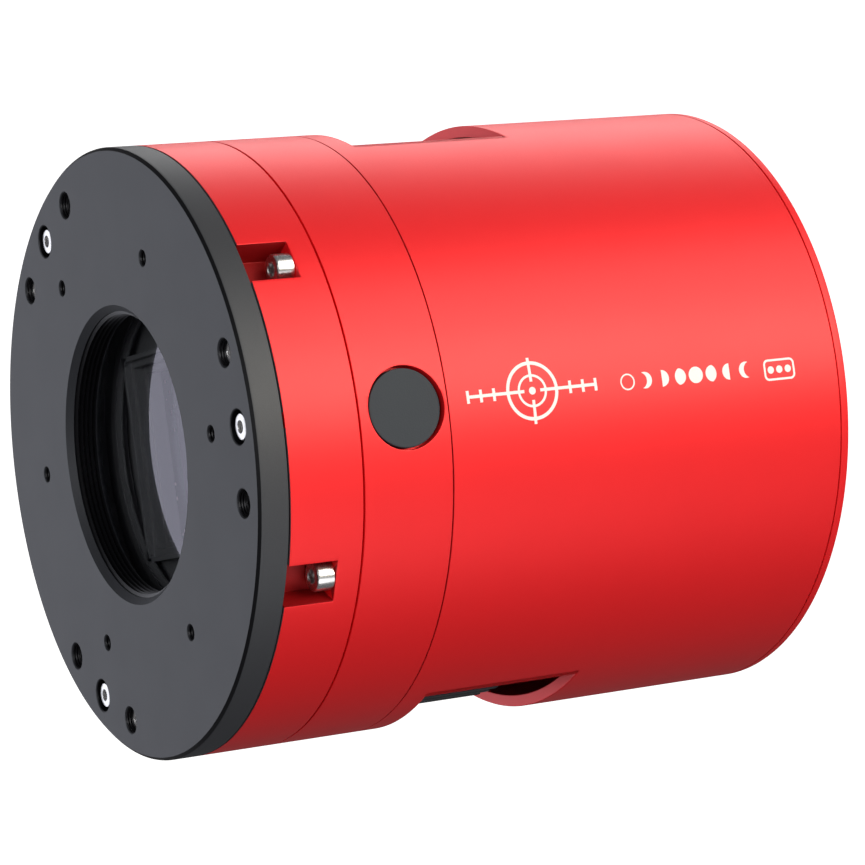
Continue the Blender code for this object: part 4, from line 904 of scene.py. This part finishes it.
def make_mask():
    """Disc on four legs, with a rectangular collar that steps down to the sensor's window."""
    low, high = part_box("sensor_mask")
    disc_rear, radius, edge = MASK_FRONT + MASK_THICKNESS, high.x, 0.2 * MM
    mask = turn("stepped_mask", [(0.0, low.y), (radius - edge, low.y), (radius, low.y + edge),
                                 (radius, disc_rear), (0.0, disc_rear)])
    legs = [rod("leg", MASK_LEG_RADIUS, disc_rear - OVERCUT, high.y, (x, z))
            for x in (-MASK_LEGS[0], MASK_LEGS[0]) for z in (-MASK_LEGS[1], MASK_LEGS[1])]
    half_width, half_height = COLLAR_HALF
    collar = block("collar", (-half_width, COLLAR_FRONT, -half_height),
                   (half_width, low.y + OVERCUT, half_height))
    cut(mask, [*legs, collar], "UNION")
    openings = []
    for i, floor in enumerate(COLLAR_FLOORS):
        inwards = COLLAR_RIM + COLLAR_STEP * i
        openings.append(block(
            "opening", (inwards - half_width, COLLAR_FRONT - OVERCUT, inwards - half_height),
            (half_width - inwards, floor, half_height - inwards)))
    cut(mask, openings)

    def on_steps(middle):
        inner = abs(middle.x) < half_width + NEAR and abs(middle.z) < half_height + NEAR
        return inner and middle.y < disc_rear + NEAR

    soften(mask, on_steps, EDGE_BREAK)
    done(mask, "camera", MATT, ["sensor_mask"])


def make_sensor():
    low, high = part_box("sensor_package")
    carrier = block("sensor_carrier", low, high)
    soften(carrier, everywhere, CARRIER_CORNER, 3)
    pocket_floor = high.y - POCKET_DEPTH
    half_width, half_height = POCKET_HALF
    cut(carrier, [block("pocket", (-half_width, low.y - OVERCUT, -half_height),
                        (half_width, pocket_floor, half_height))])
    done(carrier, "camera", CERAMIC, ["sensor_package"])
    low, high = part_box("sensor_die")
    die = block("sensor_chip", low, high)
    soften(die, everywhere, 0.05 * MM, 1)
    done(die, "camera", silicon(high.x - DIE_FRAME[0], high.z - DIE_FRAME[1]), ["sensor_die"])
    pads = []
    for i in range(-PADS_BESIDE, PADS_BESIDE + 1):
        for side in (-1, 1):
            x, z = i * PAD_PITCH, side * (high.z + PAD_AWAY)
            pads.append(block("pad", (x - PAD_HALF, pocket_floor - PAD_SUNK, z - PAD_HALF),
                              (x + PAD_HALF, pocket_floor + PAD_RISE, z + PAD_HALF)))
    pads = gather("bond_pads", pads)
    # painted shade: the pads take the darkened gold
    done(pads, "camera", PAD)
    low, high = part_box("sensor_cover_glass")
    cover = block("sensor_window", low, high)
    soften(cover, everywhere, BREAK, 1)
    done(cover, "camera", SENSOR_GLASS, ["sensor_cover_glass"])


# ---- rear barrel and cover ----------------------------------------------------------------------
def make_barrel():
    edge = SEAM_CHAMFER
    outline = [
        (BARREL_BORE, BARREL_FRONT),
        (BODY_RADIUS - edge, BARREL_FRONT),
        (BODY_RADIUS, BARREL_FRONT + edge),
        (BODY_RADIUS, VENT_START - RING_GAP),
        (BODY_RADIUS, VENT_END + RING_GAP),
        (BODY_RADIUS, BARREL_REAR - edge),
        (BODY_RADIUS - edge, BARREL_REAR),
        (BARREL_BORE, BARREL_REAR),
        (BARREL_BORE, RELIEF_END),
        (RELIEF_RADIUS, RELIEF_END),
        (RELIEF_RADIUS, RELIEF_START),
        (BARREL_BORE, RELIEF_START),
    ]
    barrel = turn("barrel_shell", outline, BODY_SIDES)
    reach = BODY_RADIUS + OVERCUT
    cut(barrel, [block("vents", (-VENT_HALF_WIDTH, VENT_START, -reach),
                       (VENT_HALF_WIDTH, VENT_END, reach))])

    def on_vent(middle):
        return abs(middle.x) < VENT_HALF_WIDTH + NEAR \
            and VENT_START - NEAR < middle.y < VENT_END + NEAR

    soften(barrel, on_vent, 0.2 * MM)
    lugs = [rod("lug", LUG_RADIUS, LUG_START, LUG_END, round_the_axis(LUG_CIRCLE_RADIUS, angle))
            for angle in LUG_ANGLES]
    cut(barrel, lugs, "UNION")
    holes = [rod("lug_hole", LUG_HOLE_RADIUS, LUG_START + OVERCUT, LUG_END + OVERCUT,
                 round_the_axis(LUG_CIRCLE_RADIUS, angle)) for angle in LUG_ANGLES]
    cut(barrel, holes)
    done(barrel, "camera", RED, ["rear_barrel"])


def rounded_slot(x, length):
    """Grille slot with round ends."""
    half = GRILLE_SLOT_WIDTH / 2
    slot = block("slot", (x - half, COVER_STEP - OVERCUT, -length / 2),
                 (x + half, REAR_FACE + OVERCUT, length / 2))
    soften(slot, lambda middle: COVER_STEP < middle.y < REAR_FACE, half * 0.98, 8)
    return slot


def make_cover():
    edge = SEAM_CHAMFER
    outline = [
        (0.0, COVER_STEP),
        (COVER_STEP_RADIUS - edge, COVER_STEP),
        (COVER_STEP_RADIUS, COVER_STEP + edge),
        (COVER_STEP_RADIUS, COVER_FRONT),
        (BODY_RADIUS - edge, COVER_FRONT),
        (BODY_RADIUS, COVER_FRONT + edge),
        (BODY_RADIUS, REAR_FACE - COVER_ROUND),
        (BODY_RADIUS - COVER_ROUND_MIDDLE, REAR_FACE - COVER_ROUND_MIDDLE),
        (BODY_RADIUS - COVER_ROUND, REAR_FACE),
        (0.0, REAR_FACE),
    ]
    cover = turn("rear_panel", outline, BODY_SIDES)
    openings = []
    for i in range(GRILLE_SLOTS):
        x = (i - (GRILLE_SLOTS - 1) / 2) * GRILLE_PITCH
        openings.append(rounded_slot(x, 2 * math.sqrt(GRILLE_RADIUS**2 - x**2)))
    head = M25_HEAD[0] + SCREW_SEAT_GAP
    seat = REAR_FACE - SCREW_SEAT_DEPTH
    for angle in LUG_ANGLES:
        openings.append(turn("screw_seat", [
            (0.0, COVER_STEP - OVERCUT), (LUG_HOLE_RADIUS, COVER_STEP - OVERCUT),
            (LUG_HOLE_RADIUS, seat), (head, seat), (head, REAR_FACE + OVERCUT),
            (0.0, REAR_FACE + OVERCUT)], SCREW_SIDES, round_the_axis(LUG_CIRCLE_RADIUS, angle)))
    cut(cover, openings)

    def on_rear_face(middle):
        return middle.y > REAR_FACE - 0.02 * MM \
            and math.hypot(middle.x, middle.z) < BODY_RADIUS - MM

    soften(cover, on_rear_face, BREAK)
    cut_outs = []
    for node in ("data_socket", "hub_socket_1", "hub_socket_2", "power_socket"):
        low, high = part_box(node)
        cut_out = block("cut_out", (low.x - SOCKET_GAP, COVER_STEP - OVERCUT, low.z - SOCKET_GAP),
                        (high.x + SOCKET_GAP, REAR_FACE + OVERCUT, high.z + SOCKET_GAP))
        soften(cut_out, lambda middle: COVER_STEP < middle.y < REAR_FACE, CUT_OUT_CORNER, 3)
        cut_outs.append(cut_out)
    cut(cover, cut_outs)
    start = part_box("rear_cover")[0].y
    posts = [rod("post", POST_RADIUS, start, COVER_STEP + OVERCUT,
                 round_the_axis(POST_CIRCLE_RADIUS, angle)) for angle in POST_ANGLES]
    cut(cover, posts, "UNION")
    done(cover, "camera", RED, ["rear_cover"])


# ---- fan ----------------------------------------------------------------------------------------
DUCT_RADIUS = 28.3 * MM
DUCT_FLARE = 0.8 * MM
FLANGE = 3.2 * MM
DUCT_WALL = 30.2 * MM             # outside of the duct between the two flanges
FAN_HOLE_RADIUS = 2.1 * MM
FAN_HOLE_REACH = 25.0 * MM        # of the corner holes, from the optical axis along X and Z
STRUT_FRONT = 73.9 * MM
STRUT_WIDTH = 2.5 * MM
HUB_RADIUS = 12.0 * MM
HUB_POCKET_RADIUS = 5.4 * MM
HUB_CROWN = 2.7 * MM
BOSS_RADIUS = 5.0 * MM
LABEL_RADIUS = 10.2 * MM
FRAME_CORNER = 3.0 * MM
DISH_RADIUS = 4.0 * MM            # of the shallow dish in the hub's face
DISH_MOUTH_RADIUS = 4.4 * MM
DISH_DEPTH = 0.3 * MM
HUB_EDGE = 1.2 * MM
HUB_EDGE_MIDDLE = 0.4 * MM
BLADES = 7
BLADE_TIP = 27.9 * MM
BLADE_CHORD = 17.0 * MM
BLADE_HALF_THICKNESS = 0.5 * MM
BLADE_PITCH = math.radians(38)
BLADE_TWIST = math.radians(-16)   # from the hub to the tip
BLADE_CAMBER = math.radians(34)
BLADE_CUTS = 11


def make_fan_housing():
    """Square frame with two flanges, a flared duct, four struts and a round motor seat."""
    low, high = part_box("fan_frame")
    housing = block("fan_housing", low, high)
    corner = high.x - NEAR
    soften(housing, lambda middle: min(abs(middle.x), abs(middle.z)) > corner, FRAME_CORNER, 6)
    flare = [(0.0, low.y - OVERCUT), (DUCT_RADIUS + DUCT_FLARE, low.y - OVERCUT),
             (DUCT_RADIUS + DUCT_FLARE, low.y), (DUCT_RADIUS, low.y + 2 * DUCT_FLARE),
             (DUCT_RADIUS, high.y + OVERCUT), (0.0, high.y + OVERCUT)]
    waist = [(DUCT_WALL, low.y + FLANGE), (2 * high.x, low.y + FLANGE),
             (2 * high.x, high.y - FLANGE), (DUCT_WALL, high.y - FLANGE)]
    cutters = [turn("duct", flare), turn("waist", waist)]
    cutters += [rod("corner_hole", FAN_HOLE_RADIUS, low.y - OVERCUT, high.y + OVERCUT, (x, z))
                for x in (-FAN_HOLE_REACH, FAN_HOLE_REACH)
                for z in (-FAN_HOLE_REACH, FAN_HOLE_REACH)]
    cut(housing, cutters)
    struts = []
    for angle in (0.0, 90.0):
        reach = DUCT_RADIUS + DUCT_FLARE
        strut = block("strut", (-reach, STRUT_FRONT, -STRUT_WIDTH / 2),
                      (reach, high.y, STRUT_WIDTH / 2), angle)
        soften(strut, everywhere, 0.3 * MM)
        struts.append(strut)
    edge = 0.3 * MM
    struts.append(turn("motor_seat", [
        (0.0, ROTOR_FRONT + HUB_CROWN + edge), (BOSS_RADIUS, ROTOR_FRONT + HUB_CROWN + edge),
        (BOSS_RADIUS, STRUT_FRONT), (HUB_RADIUS - edge, STRUT_FRONT),
        (HUB_RADIUS, STRUT_FRONT + edge), (HUB_RADIUS, high.y - edge),
        (HUB_RADIUS - edge, high.y), (LABEL_RADIUS, high.y), (LABEL_RADIUS, high.y - edge),
        (0.0, high.y - edge)]))
    cut(housing, struts, "UNION")
    done(housing, "camera", PLASTIC, ["fan_frame"])


def blade(angle):
    """Cambered and twisted blade that grows out of the hub."""
    inner = HUB_RADIUS - OVERCUT
    piece = block("blade", (inner, -BLADE_HALF_THICKNESS, -BLADE_CHORD / 2),
                  (BLADE_TIP + OVERCUT, BLADE_HALF_THICKNESS, BLADE_CHORD / 2))
    only(piece)
    bpy.ops.object.mode_set(mode="EDIT")
    bpy.ops.mesh.select_all(action="SELECT")
    bpy.ops.mesh.subdivide(number_cuts=BLADE_CUTS)
    bpy.ops.object.mode_set(mode="OBJECT")
    soften(piece, everywhere, BLADE_HALF_THICKNESS / 2, 1)
    only(piece)
    for method, amount in (("BEND", BLADE_CAMBER), ("TWIST", BLADE_TWIST)):
        modifier = piece.modifiers.new(method, "SIMPLE_DEFORM")
        modifier.deform_method = method
        modifier.deform_axis = "X"
        modifier.angle = amount
        bpy.ops.object.modifier_apply(modifier=modifier.name)
    span = BLADE_TIP + OVERCUT - inner
    turned_at_middle = BLADE_TWIST * (inner + span / 2) / span
    piece.rotation_euler = (BLADE_PITCH - turned_at_middle, 0.0, 0.0)
    bpy.ops.object.transform_apply(location=False, rotation=True, scale=False)
    piece.rotation_euler = (0.0, -math.radians(angle), 0.0)
    piece.location = (0.0, (ROTOR_FRONT + ROTOR_REAR) / 2, 0.0)
    bpy.ops.object.transform_apply(location=True, rotation=True, scale=False)
    return piece


def make_fan_wheel():
    front, rear = ROTOR_FRONT, ROTOR_REAR
    wheel = turn("fan_wheel", [
        (0.0, front + DISH_DEPTH), (DISH_RADIUS, front + DISH_DEPTH), (DISH_MOUTH_RADIUS, front),
        (HUB_RADIUS - HUB_EDGE, front), (HUB_RADIUS - HUB_EDGE_MIDDLE, front + HUB_EDGE_MIDDLE),
        (HUB_RADIUS, front + HUB_EDGE), (HUB_RADIUS, rear), (HUB_POCKET_RADIUS, rear),
        (HUB_POCKET_RADIUS, front + HUB_CROWN), (0.0, front + HUB_CROWN)])
    cut(wheel, [blade(360.0 / BLADES * i) for i in range(BLADES)], "UNION")
    cut(wheel, [rod("swept", BLADE_TIP, front - OVERCUT, rear, sides=RING_SIDES)], "INTERSECT")
    done(wheel, "fan", PLASTIC, ["fan_rotor"])


# ---- sockets ------------------------------------------------------------------------------------
SOCKET_DEPTH = 9.0 * MM
SHELL_WALL = 0.55 * MM
SHELL_CORNER = 0.9 * MM
SHELL_BORE_CORNER = 0.5 * MM
TONGUE_SETBACK = 1.5 * MM
TONGUE_CORNER = 0.25 * MM
WIDE_TONGUE = (7.4 * MM, 4.4 * MM)
TALL_TONGUE = (1.9 * MM, 9.6 * MM)
CONTACTS = 4                      # on each long face of a tongue
CONTACT_ROW = 0.8                 # share of the long side that the contacts take up
CONTACT_HALF = 0.28               # share of one contact's place that its half width takes up
CONTACT_SETBACK = 0.6 * MM
CONTACT_LIFT = 0.06 * MM
JACK_RADIUS = 3.15 * MM
PIN_RADIUS = 1.0 * MM
SLEEVE = (0.25 * MM, 0.02 * MM)   # its inner and outer face, from the jack's bore


def make_socket(name, node, tongue_size, material):
    """Folded steel shell with a plastic tongue and gold contacts on both of its long faces."""
    low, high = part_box(node)
    floor = high.y - SOCKET_DEPTH
    shell = block(f"{name}_shell", low, high)
    bottom = (low.y + high.y) / 2
    soften(shell, lambda middle: abs(middle.y - bottom) < MM, SHELL_CORNER, 4)
    pocket = block("pocket", (low.x + SHELL_WALL, floor, low.z + SHELL_WALL),
                   (high.x - SHELL_WALL, high.y + OVERCUT, high.z - SHELL_WALL))
    soften(pocket, lambda middle: floor < middle.y < high.y, SHELL_BORE_CORNER, 3)
    cut(shell, [pocket])
    soften(shell, lambda middle: middle.y > high.y - NEAR / 10, BREAK)
    done(shell, "camera", STEEL, [node])
    x, z = (low.x + high.x) / 2, (low.z + high.z) / 2
    half_width, half_height = tongue_size[0] / 2, tongue_size[1] / 2
    tongue = block(f"{name}_tongue", (x - half_width, floor - OVERCUT / 2, z - half_height),
                   (x + half_width, high.y - TONGUE_SETBACK, z + half_height))
    soften(tongue, everywhere, TONGUE_CORNER)
    done(tongue, "camera", material)
    strips = []
    half = CONTACT_HALF * max(tongue_size) / CONTACTS
    for i in range(CONTACTS):
        shift = (i - (CONTACTS - 1) / 2) * CONTACT_ROW / CONTACTS
        for side in (-1, 1):
            if tongue_size[0] > tongue_size[1]:
                middle = (x + shift * tongue_size[0], z + side * half_height)
                sizes = (half, CONTACT_LIFT)
            else:
                middle = (x + side * half_width, z + shift * tongue_size[1])
                sizes = (CONTACT_LIFT, half)
            strips.append(block("strip", (middle[0] - sizes[0], floor, middle[1] - sizes[1]),
                                (middle[0] + sizes[0], high.y - TONGUE_SETBACK - CONTACT_SETBACK,
                                 middle[1] + sizes[1])))
    done(gather(f"{name}_contacts", strips), "camera", GOLD)


def make_power_jack():
    low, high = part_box("power_socket")
    centre = ((low.x + high.x) / 2, (low.z + high.z) / 2)
    floor, edge = high.y - SOCKET_DEPTH, 0.35 * MM
    jack = block("power_jack", low, high)
    soften(jack, everywhere, 0.3 * MM, 3)
    cut(jack, [turn("bore", [
        (0.0, floor), (JACK_RADIUS, floor), (JACK_RADIUS, high.y - edge),
        (JACK_RADIUS + edge + OVERCUT, high.y + OVERCUT), (0.0, high.y + OVERCUT)],
        RING_SIDES, centre)])
    done(jack, "camera", PLASTIC, ["power_socket"])
    tip = high.y - TONGUE_SETBACK
    pin = turn("power_pin", [
        (0.0, floor - edge), (PIN_RADIUS, floor - edge), (PIN_RADIUS, tip - 2 * edge),
        (0.8 * PIN_RADIUS, tip - edge / 2), (0.4 * PIN_RADIUS, tip), (0.0, tip)],
        SCREW_SIDES, centre)
    done(pin, "camera", STEEL)
    sleeve = turn("power_sleeve", [
        (JACK_RADIUS - SLEEVE[0], floor - edge), (JACK_RADIUS - SLEEVE[1], floor - edge),
        (JACK_RADIUS - SLEEVE[1], tip - edge), (JACK_RADIUS - SLEEVE[0], tip - edge)],
        SCREW_SIDES, centre)
    done(sleeve, "camera", STEEL)


# ---- printed mark -------------------------------------------------------------------------------
PRINT_TOP = 0.02 * MM             # above the barrel
PRINT_SUNK = 0.05 * MM
RETICLE = (43.65 * MM, 0.5 * MM)  # centre along Y and Z
RETICLE_RINGS = ((4.2 * MM, 3.7 * MM), (2.35 * MM, 2.0 * MM))
RETICLE_REACH = 10.6 * MM
RETICLE_HEIGHT = 4.7 * MM
RETICLE_GAP = 1.3 * MM            # from the centre to the start of each arm
RETICLE_TICKS = (6.2, 8.3, 10.4)  # millimetres from the centre
TICK_HALF = 0.9 * MM
LINE = 0.45 * MM
MOON_ROW = (59.4 * MM, 0.35 * MM)
MOON_PITCH = 2.9 * MM
MOON_RADIUS = 1.2 * MM
BADGE = (82.8 * MM, 88.2 * MM, -1.65 * MM, 1.5 * MM)
BADGE_CORNER = 0.8 * MM
BADGE_INNER_CORNER = 0.5 * MM
BADGE_DOTS = (-1.5, 0.0, 1.5)     # millimetres from its middle
BADGE_DOT_RADIUS = 0.55 * MM
STAMP_START = BODY_RADIUS - 2 * MM     # the marks are drawn through the wall and trimmed later
STAMP_END = BODY_RADIUS + OVERCUT


def disc(radius, y, z):
    return rod("disc", radius, STAMP_START, STAMP_END, (y, z), 64, "X")


def bar(y, z, half_length, half_height):
    return block("bar", (STAMP_START, y - half_length, z - half_height),
                 (STAMP_END, y + half_length, z + half_height))


def hoop(outer, inner, y, z):
    piece = disc(outer, y, z)
    cut(piece, [disc(inner, y, z)])
    return piece


def moon(number, y, z):
    """One phase of eight: new, crescent, half, gibbous, full and back again."""
    if number == 0:
        return hoop(MOON_RADIUS, MOON_RADIUS - LINE / 2, y, z)
    piece = disc(MOON_RADIUS, y, z)
    side = 1.0 if number > 4 else -1.0
    kind = min(number, 8 - number)
    if kind == 1:
        cut(piece, [disc(MOON_RADIUS, y + side * 0.7 * MOON_RADIUS, z)])
    if kind == 2:
        cut(piece, [bar(y + side * MOON_RADIUS, z, MOON_RADIUS, 2 * MOON_RADIUS)])
    if kind == 3:
        night = hoop(3 * MOON_RADIUS, 1.15 * MOON_RADIUS, y - side * 0.6 * MOON_RADIUS, z)
        cut(piece, [night])
    return piece


def make_print():
    """A guiding reticle, a row of moon phases and a small badge, laid on the barrel."""
    y, z = RETICLE
    reticle = disc(1.2 * LINE, y, z)
    parts = [hoop(outer, inner, y, z) for outer, inner in RETICLE_RINGS]
    for side in (-1, 1):
        half = (RETICLE_REACH - RETICLE_GAP) / 2
        parts.append(bar(y + side * (RETICLE_REACH - half), z, half, LINE / 2))
        half = (RETICLE_HEIGHT - RETICLE_GAP) / 2
        parts.append(bar(y, z + side * (RETICLE_HEIGHT - half), LINE / 2, half))
        parts += [bar(y + side * away * MM, z, LINE / 2, TICK_HALF) for away in RETICLE_TICKS]
    cut(reticle, parts, "UNION")
    moons = [moon(i, MOON_ROW[0] + MOON_PITCH * i, MOON_ROW[1]) for i in range(8)]
    start, end, bottom, top = BADGE
    middle = ((start + end) / 2, (bottom + top) / 2)
    half = ((end - start) / 2, (top - bottom) / 2)
    badge = bar(*middle, *half)
    hollow = bar(*middle, half[0] - LINE * 0.7, half[1] - LINE * 0.7)
    soften(badge, lambda point: abs(point.x - BODY_RADIUS) < MM, BADGE_CORNER, 5)
    soften(hollow, lambda point: abs(point.x - BODY_RADIUS) < MM, BADGE_INNER_CORNER, 5)
    cut(badge, [hollow])
    cut(badge, [disc(BADGE_DOT_RADIUS, middle[0] + away * MM, middle[1])
                for away in BADGE_DOTS], "UNION")
    mark = gather("printed_mark", [reticle, badge, *moons])
    low, high = BODY_RADIUS - PRINT_SUNK, BODY_RADIUS + PRINT_TOP
    start, end = BARREL_FRONT + MM, BARREL_REAR - MM
    layer = turn("layer", [(low, start), (high, start), (high, end), (low, end)], BODY_SIDES)
    cut(mark, [layer], "INTERSECT")
    done(mark, "camera", PRINT)


# ---- plain CAD nodes ----------------------------------------------------------------------------
def dress_frame():
    """Give the CAD nodes that stay as they are their finishes."""
    finishes = {
        "heat_sink": BLACK,
        "window_seal": RUBBER, "chamber_seal": RUBBER, "plug_seal": RUBBER,
        "window_heater": MATT, "sensor_board": BOARD, "main_board": BOARD,
        "humidity_sensor": PLASTIC, "processor": PLASTIC, "memory_chip": PLASTIC,
        "cold_finger": aluminium(), "cooler_cold_stage": ALUMINA, "cooler_hot_stage": ALUMINA,
        "insulation_foam": closed_cell_foam(), "desiccant_tablet": TABLET,
        "ribbon_cable": ribbon_film(),
    }
    for node, material in finishes.items():
        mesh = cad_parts[node].data
        mesh.materials.clear()
        mesh.materials.append(material)


# ---- studio -------------------------------------------------------------------------------------
def towards(azimuth, elevation):
    """Unit vector; azimuth is counted from the front face's side towards +X."""
    turned, raised = math.radians(azimuth), math.radians(elevation)
    return Vector((math.sin(turned) * math.cos(raised), -math.cos(turned) * math.cos(raised),
                   math.sin(raised)))


def softbox(name, azimuth, elevation, distance, width, height, brightness, colour=(1, 1, 1)):
    """Rectangular light whose face has a given brightness, aimed at the camera's middle."""
    lamp = bpy.data.lights.new(name, "AREA")
    lamp.color = colour
    lamp.shape = "RECTANGLE"
    lamp.size, lamp.size_y = width, height
    lamp.energy = brightness * math.pi * width * height
    light = bpy.data.objects.new(name, lamp)
    bpy.context.scene.collection.objects.link(light)
    way = towards(azimuth, elevation)
    light.location = VIEW_AIM + way * distance
    light.rotation_euler = way.to_track_quat("Z", "Y").to_euler()
    light.visible_camera = False


def make_studio():
    bpy.ops.object.select_all(action="DESELECT")
    bpy.ops.mesh.primitive_uv_sphere_add(segments=64, ring_count=32, radius=STUDIO_RADIUS)
    studio = named("studio_floor")
    bpy.ops.object.mode_set(mode="EDIT")
    bpy.ops.mesh.select_all(action="SELECT")
    bpy.ops.mesh.bisect(plane_co=(0.0, 0.0, -FLOOR_DROP), plane_no=(0.0, 0.0, 1.0),
                        use_fill=True, clear_inner=True)
    bpy.ops.mesh.select_all(action="SELECT")
    bpy.ops.mesh.normals_make_consistent(inside=True)
    bpy.ops.object.mode_set(mode="OBJECT")
    pale = Finish("pale studio", (0.9, 0.9, 0.9), 0.9)
    pale.set("Emission Color", (1.0, 1.0, 1.0, 1.0))
    pale.set("Emission Strength", 1.0)
    studio.data.materials.append(pale.material)
    studio.visible_diffuse = False
    studio.visible_glossy = False
    studio.visible_transmission = False
    studio.visible_shadow = False
    world = bpy.data.worlds.new("studio air")
    world.use_nodes = True
    world.node_tree.nodes["Background"].inputs[0].default_value = AIR
    bpy.context.scene.world = world
    softbox("right_light", 116.0, 12.0, 1.3, 1.0, 0.55, 7.3, (1.0, 0.94, 0.80))
    softbox("right_upper_light", 125.0, 36.0, 1.4, 1.0, 0.5, 3.2, (1.0, 0.97, 0.9))
    softbox("top_light", 222.0, 44.0, 1.3, 1.0, 0.6, 2.5)
    softbox("front_left_light", -61.0, 4.0, 1.3, 1.1, 1.1, 1.25, (0.95, 0.97, 1.07))
    softbox("front_right_light", 42.0, 6.0, 1.5, 0.6, 0.6, 6.0)
    softbox("low_right_light", 98.0, -42.0, 1.5, 1.1, 0.8, 2.0)
    bpy.context.scene.view_settings.view_transform = "Standard"


def make_camera():
    lens = bpy.data.cameras.new("view")
    lens.lens = LENS
    camera = bpy.data.objects.new("view", lens)
    bpy.context.scene.collection.objects.link(camera)
    back = towards(VIEW_AZIMUTH, VIEW_ELEVATION)
    turned = back.to_track_quat("Z", "Y").to_matrix().to_4x4()
    roll = Matrix.Rotation(math.radians(VIEW_ROLL), 4, "Z")
    camera.matrix_world = Matrix.Translation(VIEW_AIM + back * VIEW_DISTANCE) @ turned @ roll
    bpy.context.scene.camera = camera


make_camera()
make_studio()
dress_frame()
make_plate()
make_screws()
make_front_shell()
make_middle_shell()
make_plug()
make_window()
make_mask()
make_sensor()
make_barrel()
make_cover()
make_fan_housing()
make_fan_wheel()
make_socket("data", "data_socket", WIDE_TONGUE, BLUE_PLASTIC)
for number in (1, 2):
    make_socket(f"hub_{number}", f"hub_socket_{number}", TALL_TONGUE, PLASTIC)
make_power_jack()
make_print()
